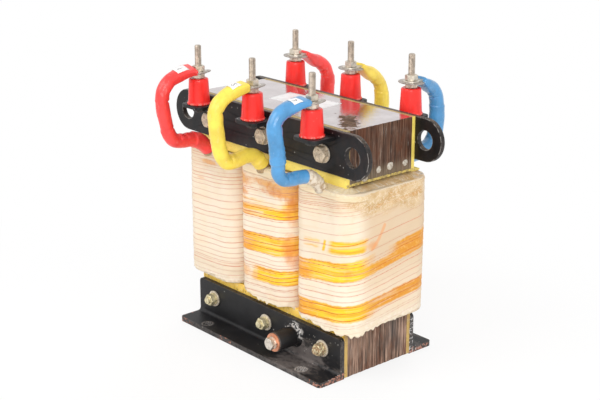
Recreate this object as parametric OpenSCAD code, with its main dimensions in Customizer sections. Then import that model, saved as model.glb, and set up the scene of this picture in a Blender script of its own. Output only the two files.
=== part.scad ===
// Line reactor for a three phase supply: a laminated three leg core, three taped coils,
// stiff sleeved leads bent round to stud terminals on stand-off insulators,
// clamp bars with lifting eyes above and foot angles below.
// Millimetres. X runs along the row of coils, Y to the back, Z up from the ground.

/* [Core] */
// Width of each of the three legs
leg_w = 60; // [48:1:80]
// Clear width of each window between the legs
window_w = 40; // [30:1:60]
// Clear height of the windows
window_h = 168; // [120:1:240]
// Height of the bottom yoke and of the top yoke
yoke_h = 60; // [56:1:80]
// Depth of the lamination stack from front to back
stack_d = 95; // [70:1:130]
// Thickness of the air gap sheet under the top yoke
gap_t = 3; // [1:0.5:4]
// Space left between the core and the ground
core_lift = 1; // [0.5:0.5:4]
// Number of lamination packets across the stack
packet_n = 24; // [12:1:36]
// How far the most set back packet stands in from the core ends
packet_step = 0.6; // [0.2:0.1:1.2]

/* [Coils] */
// Gap between neighbouring coils
coil_gap = 1; // [0.5:0.5:4]
// How far each coil stands out in front of its leg and behind it
coil_build = 18.5; // [12:0.5:24]
// Space left between the coil tops and the top yoke
coil_head = 5; // [4:0.5:9]
// Radius of the coil's upright corners
coil_r = 26; // [14:1:32]
// Wall of the tube each coil is wound on
former_t = 2.5; // [1:0.5:3]
// Play between that tube and its leg
former_play = 0.25; // [0.1:0.05:0.5]
// Thickness of the tape round the winding
tape_t = 1.5; // [1:0.25:2.5]
// Number of tape turns from the bottom of a coil to its top
tape_turns = 11; // [7:2:21]
// How far every second turn stands back from its neighbours
tape_lap = 0.4; // [0.2:0.1:0.6]

/* [Clamping] */
// Thickness of the insulating boards between the core and the clamps
board_t = 5; // [2:0.5:6]
// Width of the outward fold along the bottom of the rear upper board
board_fold = 9; // [6:1:12]
// Thickness of that fold
board_fold_t = 2; // [1:0.5:3]
// Height of the two clamp bars
bar_h = 50; // [46:1:54]
// Thickness of the clamp bars
bar_t = 6; // [4:0.5:8]
// How far a lifting eye's centre stands out beyond the core end
eye_out = 15; // [10:1:30]
// Diameter of the lifting eyes
eye_d = 22; // [14:1:30]
// Diameter of the upper clamp bolts
upper_d = 10; // [8:1:10]
// Distance from the bar's top edge down to the upper bolts
upper_drop = 29; // [26:1:32]
// Diameter of the lower clamp bolts
lower_d = 8; // [6:1:10]
// Wall of the insulating tubes round the bolts
tube_wall = 1.5; // [1:0.25:2.5]
// Play of a bolt in its tube and of a tube in its hole
bolt_play = 0.25; // [0.1:0.05:0.5]

/* [Feet] */
// Height of the upright leg of the foot angles
angle_h = 50; // [44:1:56]
// Width of the foot over the outside of the angle
foot_w = 38; // [34:1:50]
// Thickness of the angles
angle_t = 6; // [4:0.5:8]
// Height of the lower clamp bolts above the ground
lower_z = 30; // [26:1:33]
// Distance between the two holes in a foot
foot_pitch = 175; // [120:1:200]
// Distance from a foot's outer edge in to its holes
foot_edge = 10.5; // [9:0.5:13]
// Diameter of the foot holes
foot_hole_d = 12; // [8:0.5:14]
// Diameter of the earth boss
boss_d = 23; // [18:1:26]
// Length of the earth boss
boss_l = 31; // [20:1:40]
// Distance from the middle of the front angle to the earth boss
boss_x = 51; // [40:1:62]
// Leg of the weld round the earth boss
weld = 3; // [2:0.5:4]
// Radius of the fillet inside the angles
root_r = 4; // [2:0.5:6]
// Radius of the angles' outer corners
angle_r = 5; // [3:0.5:8]

/* [Terminals] */
// Distance from the bar's top edge down to the top of the terminal tabs
tab_drop = 7; // [5:1:9]
// Width of a tab
tab_w = 36; // [32:1:44]
// Thickness of a tab
tab_t = 4; // [3:0.5:5]
// Distance from the bar's outer face to the terminal studs
stud_out = 17; // [16:0.5:22]
// How far a tab runs on past its stud
tab_past = 15; // [14:0.5:18]
// Radius of a tab's outer corners
tab_r = 8; // [4:0.5:12]
// Height of the stand-off insulators
post_h = 31; // [24:1:40]
// Diameter of an insulator at its foot
post_d = 28; // [26:0.5:31]
// Diameter of an insulator at its top
post_top_d = 23; // [20:0.5:25]
// Diameter of the terminal studs
stud_d = 8; // [6:1:8]
// Height of a stud above its insulator
stud_h = 39; // [34:1:50]
// Depth of the threaded inserts in an insulator
insert_l = 11; // [8:0.5:11]
// Diameter of the large washers under the cable lugs
disc_d = 30; // [24:1:32]
// Thickness of the large washers
disc_t = 2; // [1.5:0.5:3]

/* [Leads] */
// Diameter of the sleeved leads
lead_d = 17; // [13:0.5:18]
// How far a lead's loop stands out beyond its stud
lead_reach = 55; // [48:1:70]
// How much less far the bottom of the loop stands out
lead_tuck = 7; // [0:1:12]
// Height of the lower arm of the front leads above the coils
arm_front = 16.5; // [14:0.5:24]
// Height of the lower arm of the rear leads above the coils
arm_rear = 12; // [10.5:0.5:20]
// Bend radius at the top of a loop
bend_top = 18; // [12:1:22]
// Bend radius at the bottom of a loop
bend_low = 11; // [10:1:16]
// Bend radius where a lead turns down over the clamp bar's face
bend_dip = 8; // [5:1:12]
// Bend radius where a lead enters its coil
bend_tail = 4; // [3:0.5:6]
// Space left between a lead's lower arm and the clamp bar where it turns down
arm_gap = 6; // [4:0.5:10]
// Height above the coil of the corner where a lead enters it
tail_rise = 5; // [4:0.5:8]
// How far the top arm of a front lead falls away from its lug
lead_sag = 1.5; // [0:0.25:3]
// How far the top arm of a rear lead falls away from its lug
rear_sag = 19; // [0:1:24]
// How much closer the loop of the right rear lead is bent
rear_right_in = 9; // [0:1:12]
// Share of a lead's straight top arm in which each step of its sleeve flattens down to its lug
flat_share = 0.24; // [0.15:0.01:0.3]
// Thickness of the cable lugs
lug_t = 2.5; // [2:0.25:4]
// Width of the cable lugs
lug_w = 20; // [16:1:24]

/* [Hidden] */
$fn = 48;
lead_sides = 16;
seam = 0.3;

// Heights and half widths of the core
pitch = leg_w + window_w;
core_x = pitch + leg_w / 2;
core_y = stack_d / 2;
yoke_z = core_lift + yoke_h;
window_z = yoke_z + window_h;
leg_z = window_z - gap_t;
core_z = window_z + yoke_h;
packet_t = stack_d / packet_n;

// Coil outlines
coil_w = pitch - coil_gap;
coil_y = core_y + coil_build;
coil_z = window_z - coil_head;
wind_in_x = leg_w / 2 + former_play + former_t;
wind_in_y = core_y + former_play + former_t;
wind_z = coil_z - tape_t;

// Faces of the clamping parts
board_y = core_y + board_t;
board_z = coil_z + 1;
bar_y = board_y + bar_t;
bar_z = core_z - bar_h;
angle_y = board_y + angle_t;
foot_y = board_y + foot_w;
upper_z = core_z - upper_drop;
eye_x = core_x + eye_out;
eye_z = core_z - bar_h / 2;

// Bolts and what goes with them, in the usual proportions to the thread
upper_hole = upper_d + 4 * bolt_play + 2 * tube_wall;
lower_hole = lower_d + 4 * bolt_play + 2 * tube_wall;
clear_hole = 1;
upper_af = 1.7 * upper_d;
upper_head = 0.64 * upper_d;
upper_nut = 0.84 * upper_d;
upper_disc = 2.1 * upper_d;
lower_af = 1.625 * lower_d;
lower_head = 0.66 * lower_d;
lower_nut = 0.8 * lower_d;
lower_disc = 2.5 * lower_d;
plain_t = 1.6;
spring_t = 2;
tip = 3;

// Terminal stack
tab_z = core_z - tab_drop;
stud_y = bar_y + stud_out;
post_z = tab_z + post_h;
stud_af = 1.625 * stud_d;
thin_nut = 0.5 * stud_d;
full_nut = 0.8 * stud_d;
screw_head = 0.66 * stud_d;
insert_wall = 2.4;
stud_pitch_d = 0.9 * stud_d;
insert_r = stud_pitch_d / 2 + insert_wall;
disc_z = post_z + thin_nut;
lug_z = disc_z + disc_t;
top_nut_z = lug_z + lug_t;
free_z = top_nut_z + full_nut;
lead_y = stud_y + disc_d / 2 + seam;

// Earth terminal
earth_d = 8;
earth_af = 1.625 * earth_d;
earth_head = 0.66 * earth_d;
earth_deep = 14;
ring_t = 1.5;

// Places along the row
PHASES = [-1, 0, 1];
SIDES = [-1, 1];

// A block between two corners
module block(a, b) {
    translate(a)
        cube(b - a);
}

// A round bar along Y from y0 to y1
module rod_y(d, x, y0, y1, z) {
    translate([x, y0, z])
        rotate([-90, 0, 0])
            cylinder(d = d, h = y1 - y0);
}

// A hexagon standing up, its corners turned off at the top and, on a nut, at the bottom too
module hexagon(af, h, both = false) {
    wide = af / 2 / cos(30) + 1;
    face = 0.475 * af;
    cut = (wide - face) * tan(30);
    foot = both ? [[0, 0], [face, 0], [wide, cut]] : [[0, 0], [wide, 0]];
    intersection() {
        cylinder(d = af / cos(30), h = h, $fn = 6);
        rotate_extrude()
            polygon(concat(foot, [[wide, h - cut], [face, h], [0, h]]));
    }
}

// The same along Y from y0 to y1, with a flat up
module hex_y(af, x, y0, y1, z, both = false) {
    translate([x, y0, z])
        rotate([-90, 0, 0])
            hexagon(af, y1 - y0, both);
}

// A ring lying flat, such as a washer
module ring_z(d, hole, z0, z1) {
    translate([0, 0, z0])
        difference() {
            cylinder(d = d, h = z1 - z0);
            translate([0, 0, -1])
                cylinder(d = hole, h = z1 - z0 + 2);
        }
}

// A hexagon nut lying flat
module nut_z(af, hole, z0, z1) {
    translate([0, 0, z0])
        difference() {
            hexagon(af, z1 - z0, true);
            translate([0, 0, -1])
                cylinder(d = hole, h = z1 - z0 + 2);
        }
}

// A flat outline with four round corners
module round_rect(w, d, r) {
    square([w - 2 * r, d], center = true);
    square([w, d - 2 * r], center = true);
    for (i = SIDES, j = SIDES)
        translate([i * (w / 2 - r), j * (d / 2 - r)])
            circle(r = r);
}

// A flat outline, round at the two far corners only
module round_end(w, d, r) {
    translate([-w / 2, 0])
        square([w, d - r]);
    translate([r - w / 2, 0])
        square([w - 2 * r, d]);
    for (i = SIDES)
        translate([i * (w / 2 - r), d - r])
            circle(r = r);
}

// The same on the front or on the rear of the core
module on_side(side) {
    if (side > 0)
        children();
    else
        mirror([0, 1, 0])
            children();
}

// Set back of one lamination packet, by a repeating pattern
function packet_in(i) = packet_step * ((i * 7) % 5) / 4;

// Outline of the core seen from above, stepped packet by packet at both ends
module packet_plan() {
    right = [for (i = [0 : packet_n - 1], k = [0, 1])
        [core_x - packet_in(i), (i + k) * packet_t - core_y]];
    left = [for (i = [packet_n - 1 : -1 : 0], k = [1, 0])
        [packet_in(i) - core_x, (i + k) * packet_t - core_y]];
    polygon(concat(right, left));
}

module upper_holes(d) {
    for (p = PHASES)
        rod_y(d, p * pitch, -bar_y - 1, bar_y + 1, upper_z);
}

module lower_holes(d) {
    for (p = PHASES)
        rod_y(d, p * pitch, -angle_y - 1, angle_y + 1, lower_z);
}

// Seen from the front the legs stand on the bottom yoke like a letter E on its back
module e_core() {
    color([0.34, 0.27, 0.24])
        difference() {
            intersection() {
                translate([0, core_y, 0])
                    rotate([90, 0, 0])
                        linear_extrude(stack_d)
                            union() {
                                translate([-core_x, core_lift])
                                    square([2 * core_x, yoke_h]);
                                for (p = PHASES)
                                    translate([p * pitch - leg_w / 2, core_lift])
                                        square([leg_w, leg_z - core_lift]);
                            }
                linear_extrude(core_z)
                    packet_plan();
            }
            lower_holes(lower_hole);
        }
}

module i_yoke() {
    color([0.34, 0.27, 0.24])
        difference() {
            translate([0, 0, window_z])
                linear_extrude(yoke_h)
                    packet_plan();
            upper_holes(upper_hole);
        }
}

module air_gap_sheet() {
    color([0.78, 0.66, 0.25])
        block([-core_x, -core_y, leg_z], [core_x, core_y, window_z]);
}

module coil_tube(p) {
    color([0.82, 0.72, 0.36])
        translate([p * pitch, 0, yoke_z])
            linear_extrude(coil_z - yoke_z)
                difference() {
                    square([2 * wind_in_x, 2 * wind_in_y], center = true);
                    square([leg_w + 2 * former_play, stack_d + 2 * former_play], center = true);
                }
}

module winding(p) {
    color([0.72, 0.4, 0.22])
        translate([p * pitch, 0, yoke_z + tape_t])
            linear_extrude(wind_z - yoke_z - tape_t)
                difference() {
                    coil_outline(tape_t);
                    square([2 * wind_in_x, 2 * wind_in_y], center = true);
                }
}

// Outline of a coil, set in from the outside of the tape
module coil_outline(inset) {
    round_rect(coil_w - 2 * inset, 2 * (coil_y - inset), coil_r - inset);
}

// Every second turn of tape laps over its neighbours, from the bottom to the top
module tape(p) {
    turn_h = (coil_z - yoke_z) / tape_turns;
    color([0.93, 0.87, 0.74])
        translate([p * pitch, 0, yoke_z])
            difference() {
                union() {
                    linear_extrude(coil_z - yoke_z)
                        coil_outline(tape_lap);
                    for (k = [0 : 2 : tape_turns - 1])
                        translate([0, 0, k * turn_h])
                            linear_extrude(turn_h)
                                coil_outline(0);
                }
                translate([0, 0, -1])
                    linear_extrude(coil_z - yoke_z + 2)
                        coil_outline(tape_t);
            }
}

module upper_board(side) {
    color([0.9, 0.78, 0.3])
        on_side(side)
            difference() {
                union() {
                    block([-core_x, core_y, board_z], [core_x, board_y, core_z]);
                    if (side > 0)
                        rear_fold();
                }
                upper_holes(upper_hole);
            }
}

// The rear board is folded outwards over the coils, clear of the lead tails
module rear_fold() {
    difference() {
        block([-core_x, board_y - 1, board_z], [core_x, board_y + board_fold, board_z + board_fold_t]);
        for (p = PHASES)
            block([p * pitch - lead_d, board_y, board_z - 1],
                [p * pitch + lead_d, board_y + board_fold + 1, board_z + board_fold_t + 1]);
    }
}

module lower_board(side) {
    color([0.9, 0.78, 0.3])
        on_side(side)
            difference() {
                block([-core_x, core_y, core_lift], [core_x, board_y, yoke_z]);
                lower_holes(lower_hole);
            }
}

module clamp_bar(side) {
    color([0.12, 0.12, 0.12])
        on_side(side)
            difference() {
                translate([0, bar_y, 0])
                    rotate([90, 0, 0])
                        linear_extrude(bar_t)
                            difference() {
                                translate([0, eye_z])
                                    union() {
                                        square([2 * eye_x, bar_h], center = true);
                                        for (s = SIDES)
                                            translate([s * eye_x, 0])
                                                circle(d = bar_h);
                                    }
                                for (s = SIDES)
                                    translate([s * eye_x, eye_z])
                                        circle(d = eye_d);
                            }
                upper_holes(upper_d + clear_hole);
            }
}

module tab(p, side) {
    color([0.12, 0.12, 0.12])
        on_side(side)
            translate([p * pitch, bar_y, tab_z - tab_t])
                difference() {
                    linear_extrude(tab_t)
                        round_end(tab_w, stud_out + tab_past, tab_r);
                    translate([0, stud_out, -1])
                        cylinder(d = stud_d + clear_hole, h = tab_t + 2);
                }
}

// Upright leg, foot and the fillet between them
module foot_angle(side) {
    color([0.12, 0.12, 0.12])
        on_side(side)
            difference() {
                union() {
                    translate([0, angle_y, 0])
                        rotate([90, 0, 0])
                            linear_extrude(angle_t)
                                round_end(2 * core_x, angle_h, angle_r);
                    translate([0, board_y, 0])
                        linear_extrude(angle_t)
                            round_end(2 * core_x, foot_w, angle_r);
                    difference() {
                        block([-core_x, angle_y - 1, angle_t - 1], [core_x, angle_y + root_r, angle_t + root_r]);
                        translate([-core_x - 1, angle_y + root_r, angle_t + root_r])
                            rotate([0, 90, 0])
                                cylinder(r = root_r, h = 2 * core_x + 2);
                    }
                }
                lower_holes(lower_d + clear_hole);
                for (s = SIDES)
                    translate([s * foot_pitch / 2, foot_y - foot_edge, -1])
                        cylinder(d = foot_hole_d, h = angle_t + 2);
            }
}

// A turned boss with the weld that holds it on the front angle
module earth_boss() {
    color([0.12, 0.12, 0.12])
        difference() {
            union() {
                rod_y(boss_d, boss_x, -angle_y - boss_l, -angle_y, lower_z);
                translate([boss_x, -angle_y, lower_z])
                    rotate([90, 0, 0])
                        cylinder(d1 = boss_d + 2 * weld, d2 = boss_d, h = weld);
            }
            rod_y(earth_d, boss_x, -angle_y - boss_l - 1, -angle_y - boss_l + earth_deep, lower_z);
        }
}

module post(p, side) {
    lip = 2;
    edge = 1.2;
    color([0.85, 0.1, 0.08])
        translate([p * pitch, side * stud_y, tab_z])
            difference() {
                rotate_extrude()
                    polygon([
                        [0, 0],
                        [post_d / 2 - 0.5, 0],
                        [post_d / 2, 0.5],
                        [post_d / 2, lip],
                        [post_d / 2 - 0.7, lip + 0.7],
                        [post_top_d / 2, post_h - edge],
                        [post_top_d / 2 - edge, post_h],
                        [0, post_h]
                    ]);
                translate([0, 0, -1])
                    cylinder(r = insert_r, h = insert_l + 1);
                translate([0, 0, post_h - insert_l])
                    cylinder(r = insert_r, h = insert_l + 1);
            }
}

// Repeats what is drawn at one stud for all six
module at_studs() {
    for (p = PHASES, s = SIDES)
        translate([p * pitch, s * stud_y, 0])
            children();
}

module post_inserts() {
    color([0.72, 0.6, 0.38])
        at_studs() {
            ring_z(2 * insert_r, stud_pitch_d, tab_z, tab_z + insert_l);
            ring_z(2 * insert_r, stud_pitch_d, post_z - insert_l, post_z);
        }
}

module post_screws() {
    color([0.62, 0.58, 0.5])
        at_studs() {
            translate([0, 0, tab_z - tab_t])
                mirror([0, 0, 1])
                    hexagon(stud_af, screw_head);
            translate([0, 0, tab_z - tab_t - 1])
                cylinder(d = stud_pitch_d, h = tab_t + insert_l - 1);
        }
}

// Where a nut or an insert holds the thread it is drawn at its pitch diameter
module terminal_studs() {
    tip_h = 1;
    color([0.7, 0.65, 0.58])
        at_studs() {
            translate([0, 0, post_z - insert_l + 1])
                cylinder(d = stud_pitch_d, h = free_z - post_z + insert_l - 1);
            translate([0, 0, free_z])
                cylinder(d = stud_d, h = post_z + stud_h - tip_h - free_z);
            translate([0, 0, post_z + stud_h - tip_h])
                cylinder(d1 = stud_d, d2 = stud_d - 2 * tip_h, h = tip_h);
        }
}

module terminal_lower_nuts() {
    color([0.72, 0.66, 0.5])
        at_studs()
            nut_z(stud_af, stud_pitch_d, post_z, disc_z);
}

module terminal_washers() {
    color([0.66, 0.62, 0.56])
        at_studs()
            ring_z(disc_d, stud_d + clear_hole, disc_z, lug_z);
}

// A flat eye round the stud and a straight palm that runs into the sleeve
module cable_lugs() {
    palm_w = 0.7 * lug_w;
    color([0.7, 0.64, 0.56])
        for (p = PHASES, s = SIDES)
            translate([p * pitch, 0, lug_z])
                on_side(s)
                    difference() {
                        linear_extrude(lug_t)
                            union() {
                                translate([0, stud_y])
                                    circle(d = lug_w);
                                translate([-palm_w / 2, stud_y])
                                    square([palm_w, lead_y - stud_y]);
                            }
                        translate([0, stud_y, -1])
                            cylinder(d = stud_d + clear_hole, h = lug_t + 2);
                    }
}

module terminal_upper_nuts() {
    color([0.74, 0.68, 0.55])
        at_studs()
            nut_z(stud_af, stud_pitch_d, top_nut_z, free_z);
}

// Route of a lead in its own upright plane: [distance out from the middle, height]
function unit(v) = v / norm(v);
function turned(v, a) = [v[0] * cos(a) - v[1] * sin(a), v[0] * sin(a) + v[1] * cos(a)];
function bend(a, b, c, r, n) =
    let (u = unit(a - b), w = unit(c - b))
    let (half = acos(u * w) / 2)
    let (middle = b + unit(u + w) * r / sin(half))
    let (first = b + u * r / tan(half) - middle)
    let (way = sign(first[0] * (b - middle)[1] - first[1] * (b - middle)[0]))
    [for (k = [0 : n]) middle + turned(first, way * (180 - 2 * half) * k / n)];

tail_y = board_y + seam + (coil_y - tape_t - board_y - 2 * seam) / 2;
tail_t = coil_y - tape_t - board_y - 2 * seam;
lead_z = lug_z + lug_t / 2;
function corners(arm, sag, reach) = [
    [lead_y, lead_z],
    [stud_y + reach, lead_z - sag],
    [stud_y + reach - lead_tuck, coil_z + arm],
    [bar_y + lead_d / 2 + arm_gap, coil_z + arm],
    [tail_y, coil_z + tail_rise],
    [tail_y, wind_z]
];
function straight(a, b, c, r) =
    let (half = acos(unit(a - b) * unit(c - b)) / 2)
    norm(a - b) - r / tan(half);
function route(arm, sag, reach) =
    let (c = corners(arm, sag, reach))
    let (step = straight(c[0], c[1], c[2], bend_top) * flat_share)
    concat(
        [for (k = [0 : 3]) c[0] + unit(c[1] - c[0]) * step * k],
        bend(c[0], c[1], c[2], bend_top, 6),
        bend(c[1], c[2], c[3], bend_low, 6),
        bend(c[2], c[3], c[4], bend_dip, 3),
        bend(c[3], c[4], c[5], bend_tail, 3),
        [c[5]]
    );

// Width and thickness of the sleeve along the route: flat on the lug, round, flat in the coil
HEAD_W = [1.18, 1.2, 1.12, 1.03];
HEAD_T = [0.4, 0.52, 0.76, 0.95];
TAIL_F = [0.35, 0.2, 0.08, 0, 0];
function widths(n) = [for (i = [0 : n - 1])
    i < 4 ? lead_d * HEAD_W[i] : i > n - 6 ? lead_d * (1.06 - 0.06 * TAIL_F[i - n + 5]) : lead_d];
function depths(n) = [for (i = [0 : n - 1])
    i < 4 ? lead_d * HEAD_T[i] : i > n - 6 ? tail_t + (lead_d - tail_t) * TAIL_F[i - n + 5] : lead_d];
function headings(r) = let (n = len(r)) [for (i = [0 : n - 1])
    i == 0 ? [1, 0] : i == n - 1 ? [0, -1] : unit(r[i + 1] - r[i - 1])];

module lead(p, side, tint) {
    rear_reach = lead_reach - (p > 0 ? rear_right_in : 0);
    r = side > 0 ? route(arm_rear, rear_sag, rear_reach) : route(arm_front, lead_sag, lead_reach);
    n = len(r);
    w = widths(n);
    t = depths(n);
    h = headings(r);
    m = lead_sides;
    color(tint)
        translate([p * pitch, 0, 0])
            on_side(side)
                polyhedron(
                    points = [for (i = [0 : n - 1], k = [0 : m - 1])
                        [w[i] / 2 * sin(360 * k / m),
                            r[i][0] - h[i][1] * t[i] / 2 * cos(360 * k / m),
                            r[i][1] + h[i][0] * t[i] / 2 * cos(360 * k / m)]],
                    faces = concat(
                        [[for (k = [0 : m - 1]) k]],
                        [[for (k = [0 : m - 1]) n * m - 1 - k]],
                        [for (i = [0 : n - 2], k = [0 : m - 1])
                            [i * m + k, (i + 1) * m + k, (i + 1) * m + (k + 1) % m, i * m + (k + 1) % m]]
                    )
                );
}

module upper_bolts() {
    seat = bar_y + plain_t;
    color([0.66, 0.55, 0.36])
        for (p = PHASES) {
            on_side(-1)
                hex_y(upper_af, p * pitch, seat, seat + upper_head, upper_z);
            rod_y(upper_d, p * pitch, -seat - 1, seat + upper_nut + tip, upper_z);
        }
}

module upper_washers() {
    color([0.68, 0.6, 0.45])
        for (p = PHASES, s = SIDES)
            on_side(s)
                difference() {
                    rod_y(upper_disc, p * pitch, bar_y, bar_y + plain_t, upper_z);
                    rod_y(upper_d + clear_hole, p * pitch, bar_y - 1, bar_y + plain_t + 1, upper_z);
                }
}

module upper_nuts() {
    seat = bar_y + plain_t;
    color([0.68, 0.6, 0.45])
        for (p = PHASES)
            difference() {
                hex_y(upper_af, p * pitch, seat, seat + upper_nut, upper_z, true);
                rod_y(upper_d, p * pitch, seat - 1, seat + upper_nut + 1, upper_z);
            }
}

// Tubes keep the bolts off the laminations; they end against the clamps
module bolt_tubes(d, z) {
    color([0.8, 0.74, 0.55])
        for (p = PHASES)
            difference() {
                rod_y(d + 2 * bolt_play + 2 * tube_wall, p * pitch, -board_y, board_y, z);
                rod_y(d + 2 * bolt_play, p * pitch, -board_y - 1, board_y + 1, z);
            }
}

module lower_bolts() {
    seat = angle_y + plain_t;
    color([0.68, 0.6, 0.42])
        for (p = PHASES) {
            hex_y(lower_af, p * pitch, seat, seat + lower_head, lower_z);
            rod_y(lower_d, p * pitch, -seat - spring_t - lower_nut - tip, seat + 1, lower_z);
        }
}

module lower_washers() {
    color([0.7, 0.66, 0.55])
        for (p = PHASES, s = SIDES)
            on_side(s)
                difference() {
                    rod_y(lower_disc, p * pitch, angle_y, angle_y + plain_t, lower_z);
                    rod_y(lower_d + clear_hole, p * pitch, angle_y - 1, angle_y + plain_t + 1, lower_z);
                }
}

// A split ring along Y, its slit to one side
module spring_ring(d, x, y0, y1, z) {
    difference() {
        rod_y(1.85 * d, x, y0, y1, z);
        rod_y(1.04 * d, x, y0 - 1, y1 + 1, z);
        translate([x, y0 - 1, z - 0.6])
            cube([d, y1 - y0 + 2, 1.2]);
    }
}

module lower_spring_washers() {
    seat = angle_y + plain_t;
    color([0.6, 0.57, 0.5])
        for (p = PHASES)
            spring_ring(lower_d, p * pitch, -seat - spring_t, -seat, lower_z);
}

module lower_nuts() {
    seat = angle_y + plain_t + spring_t;
    color([0.7, 0.62, 0.44])
        for (p = PHASES)
            difference() {
                hex_y(lower_af, p * pitch, -seat - lower_nut, -seat, lower_z, true);
                rod_y(lower_d, p * pitch, -seat - lower_nut - 1, -seat + 1, lower_z);
            }
}

module earth_ring() {
    end = angle_y + boss_l;
    color([0.78, 0.45, 0.3])
        difference() {
            rod_y(boss_d - 1, boss_x, -end - ring_t, -end, lower_z);
            rod_y(earth_d + clear_hole, boss_x, -end - ring_t - 1, -end + 1, lower_z);
        }
}

module earth_spring_washer() {
    end = angle_y + boss_l + ring_t;
    color([0.66, 0.63, 0.58])
        spring_ring(earth_d, boss_x, -end - spring_t, -end, lower_z);
}

module earth_bolt() {
    end = angle_y + boss_l + ring_t + spring_t;
    color([0.7, 0.66, 0.58])
        union() {
            on_side(-1)
                hex_y(earth_af, boss_x, end, end + earth_head, lower_z);
            rod_y(earth_d, boss_x, -end - 1, -angle_y - boss_l + earth_deep - 1, lower_z);
        }
}

RED = [0.86, 0.16, 0.15];
YELLOW = [0.95, 0.82, 0.22];
BLUE = [0.2, 0.45, 0.75];

e_core();
i_yoke();
air_gap_sheet();
coil_tube(-1);  // coil_tube_left
coil_tube(0);  // coil_tube_middle
coil_tube(1);  // coil_tube_right
winding(-1);  // winding_left
winding(0);  // winding_middle
winding(1);  // winding_right
tape(-1);  // tape_left
tape(0);  // tape_middle
tape(1);  // tape_right
upper_board(-1);  // front_upper_board
upper_board(1);  // rear_upper_board
lower_board(-1);  // front_lower_board
lower_board(1);  // rear_lower_board
clamp_bar(-1);  // front_clamp_bar
clamp_bar(1);  // rear_clamp_bar
tab(-1, -1);  // front_tab_left
tab(0, -1);  // front_tab_middle
tab(1, -1);  // front_tab_right
tab(-1, 1);  // rear_tab_left
tab(0, 1);  // rear_tab_middle
tab(1, 1);  // rear_tab_right
foot_angle(-1);  // front_foot_angle
foot_angle(1);  // rear_foot_angle
earth_boss();
post(-1, -1);  // front_post_left
post(0, -1);  // front_post_middle
post(1, -1);  // front_post_right
post(-1, 1);  // rear_post_left
post(0, 1);  // rear_post_middle
post(1, 1);  // rear_post_right
post_inserts();
post_screws();
terminal_studs();
terminal_lower_nuts();
terminal_washers();
cable_lugs();
terminal_upper_nuts();
lead(-1, -1, RED);  // front_lead_left
lead(0, -1, YELLOW);  // front_lead_middle
lead(1, -1, BLUE);  // front_lead_right
lead(-1, 1, RED);  // rear_lead_left
lead(0, 1, YELLOW);  // rear_lead_middle
lead(1, 1, BLUE);  // rear_lead_right
upper_bolts();
upper_washers();
upper_nuts();
bolt_tubes(upper_d, upper_z);  // upper_bolt_tubes
lower_bolts();
lower_washers();
lower_spring_washers();
lower_nuts();
bolt_tubes(lower_d, lower_z);  // lower_bolt_tubes
earth_bolt();
earth_spring_washer();
earth_ring();
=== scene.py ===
"""Looks of a three phase line reactor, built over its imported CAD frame."""

import math

import bpy
import numpy as np
from mathutils import Matrix, Vector


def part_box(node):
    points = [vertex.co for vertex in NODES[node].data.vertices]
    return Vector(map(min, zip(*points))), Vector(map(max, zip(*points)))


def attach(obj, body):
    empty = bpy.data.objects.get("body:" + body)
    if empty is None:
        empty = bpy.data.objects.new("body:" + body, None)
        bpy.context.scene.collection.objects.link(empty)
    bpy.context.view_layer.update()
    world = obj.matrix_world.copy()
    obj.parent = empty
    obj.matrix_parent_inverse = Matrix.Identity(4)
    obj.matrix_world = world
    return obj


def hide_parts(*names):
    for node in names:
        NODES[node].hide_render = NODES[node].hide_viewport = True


bl_info = {
    "name": "Line Reactor Looks",
    "version": (1, 0, 0),
    "blender": (4, 5, 0),
    "location": "View3D > Sidebar > Reactor",
    "description": "Dresses the CAD frame of a line reactor with taped coils, sleeved leads and fittings",
    "category": "Object",
}

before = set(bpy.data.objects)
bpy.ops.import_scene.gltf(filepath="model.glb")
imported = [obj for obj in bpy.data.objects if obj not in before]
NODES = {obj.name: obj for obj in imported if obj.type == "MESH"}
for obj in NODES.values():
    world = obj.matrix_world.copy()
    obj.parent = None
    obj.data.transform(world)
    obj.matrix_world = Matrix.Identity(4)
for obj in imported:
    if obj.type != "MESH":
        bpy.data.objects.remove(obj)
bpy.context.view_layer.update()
SPOTS = (("left", -1), ("middle", 0), ("right", 1))
SIDES = (("front", -1), ("rear", 1))
TO_MM = 1000
TO_M = 0.001


def box_mm(node):
    """Lowest and highest corner of a CAD node in millimetres."""
    low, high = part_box(node)
    return np.array(low) * TO_MM, np.array(high) * TO_MM


TAPE_LOW, TAPE_HIGH = box_mm("tape_middle")
TAPE_HALF = (TAPE_HIGH - TAPE_LOW)[:2] / 2
STUD_LOW, STUD_HIGH = box_mm("terminal_studs")
POST_LOW, POST_HIGH = box_mm("front_post_middle")
BAR_LOW, BAR_HIGH = box_mm("front_clamp_bar")
ANGLE_LOW, ANGLE_HIGH = box_mm("front_foot_angle")
YOKE_LOW, YOKE_HIGH = box_mm("i_yoke")
PITCH = box_mm("tape_right")[0][0] - TAPE_LOW[0]
STUD_Y = -(POST_LOW[1] + POST_HIGH[1]) / 2
# Round ends and lifting eyes of the clamp bars, thickness of a foot, middle of the earth boss, fixing holes
BAR_END = 25.0
EYE_RADIUS = 11.0
FOOT_THICK = 6.0
BOSS_X, BOSS_Z = 51.0, 30.0
HOLE_X, HOLE_Y = 87.5, 80.0
# Round a coil: about where its front starts, and where its free side ends
FRONT_START = 72.0
SIDE_END = (330.0, 350.0)


# Shader arithmetic


def operation(name, swapped=False):
    """An operator of a field, done by a math node."""

    def apply(field, *others):
        values = (*others, field) if swapped else (field, *others)
        return field.finish.math(name, *values)

    return apply


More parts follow.
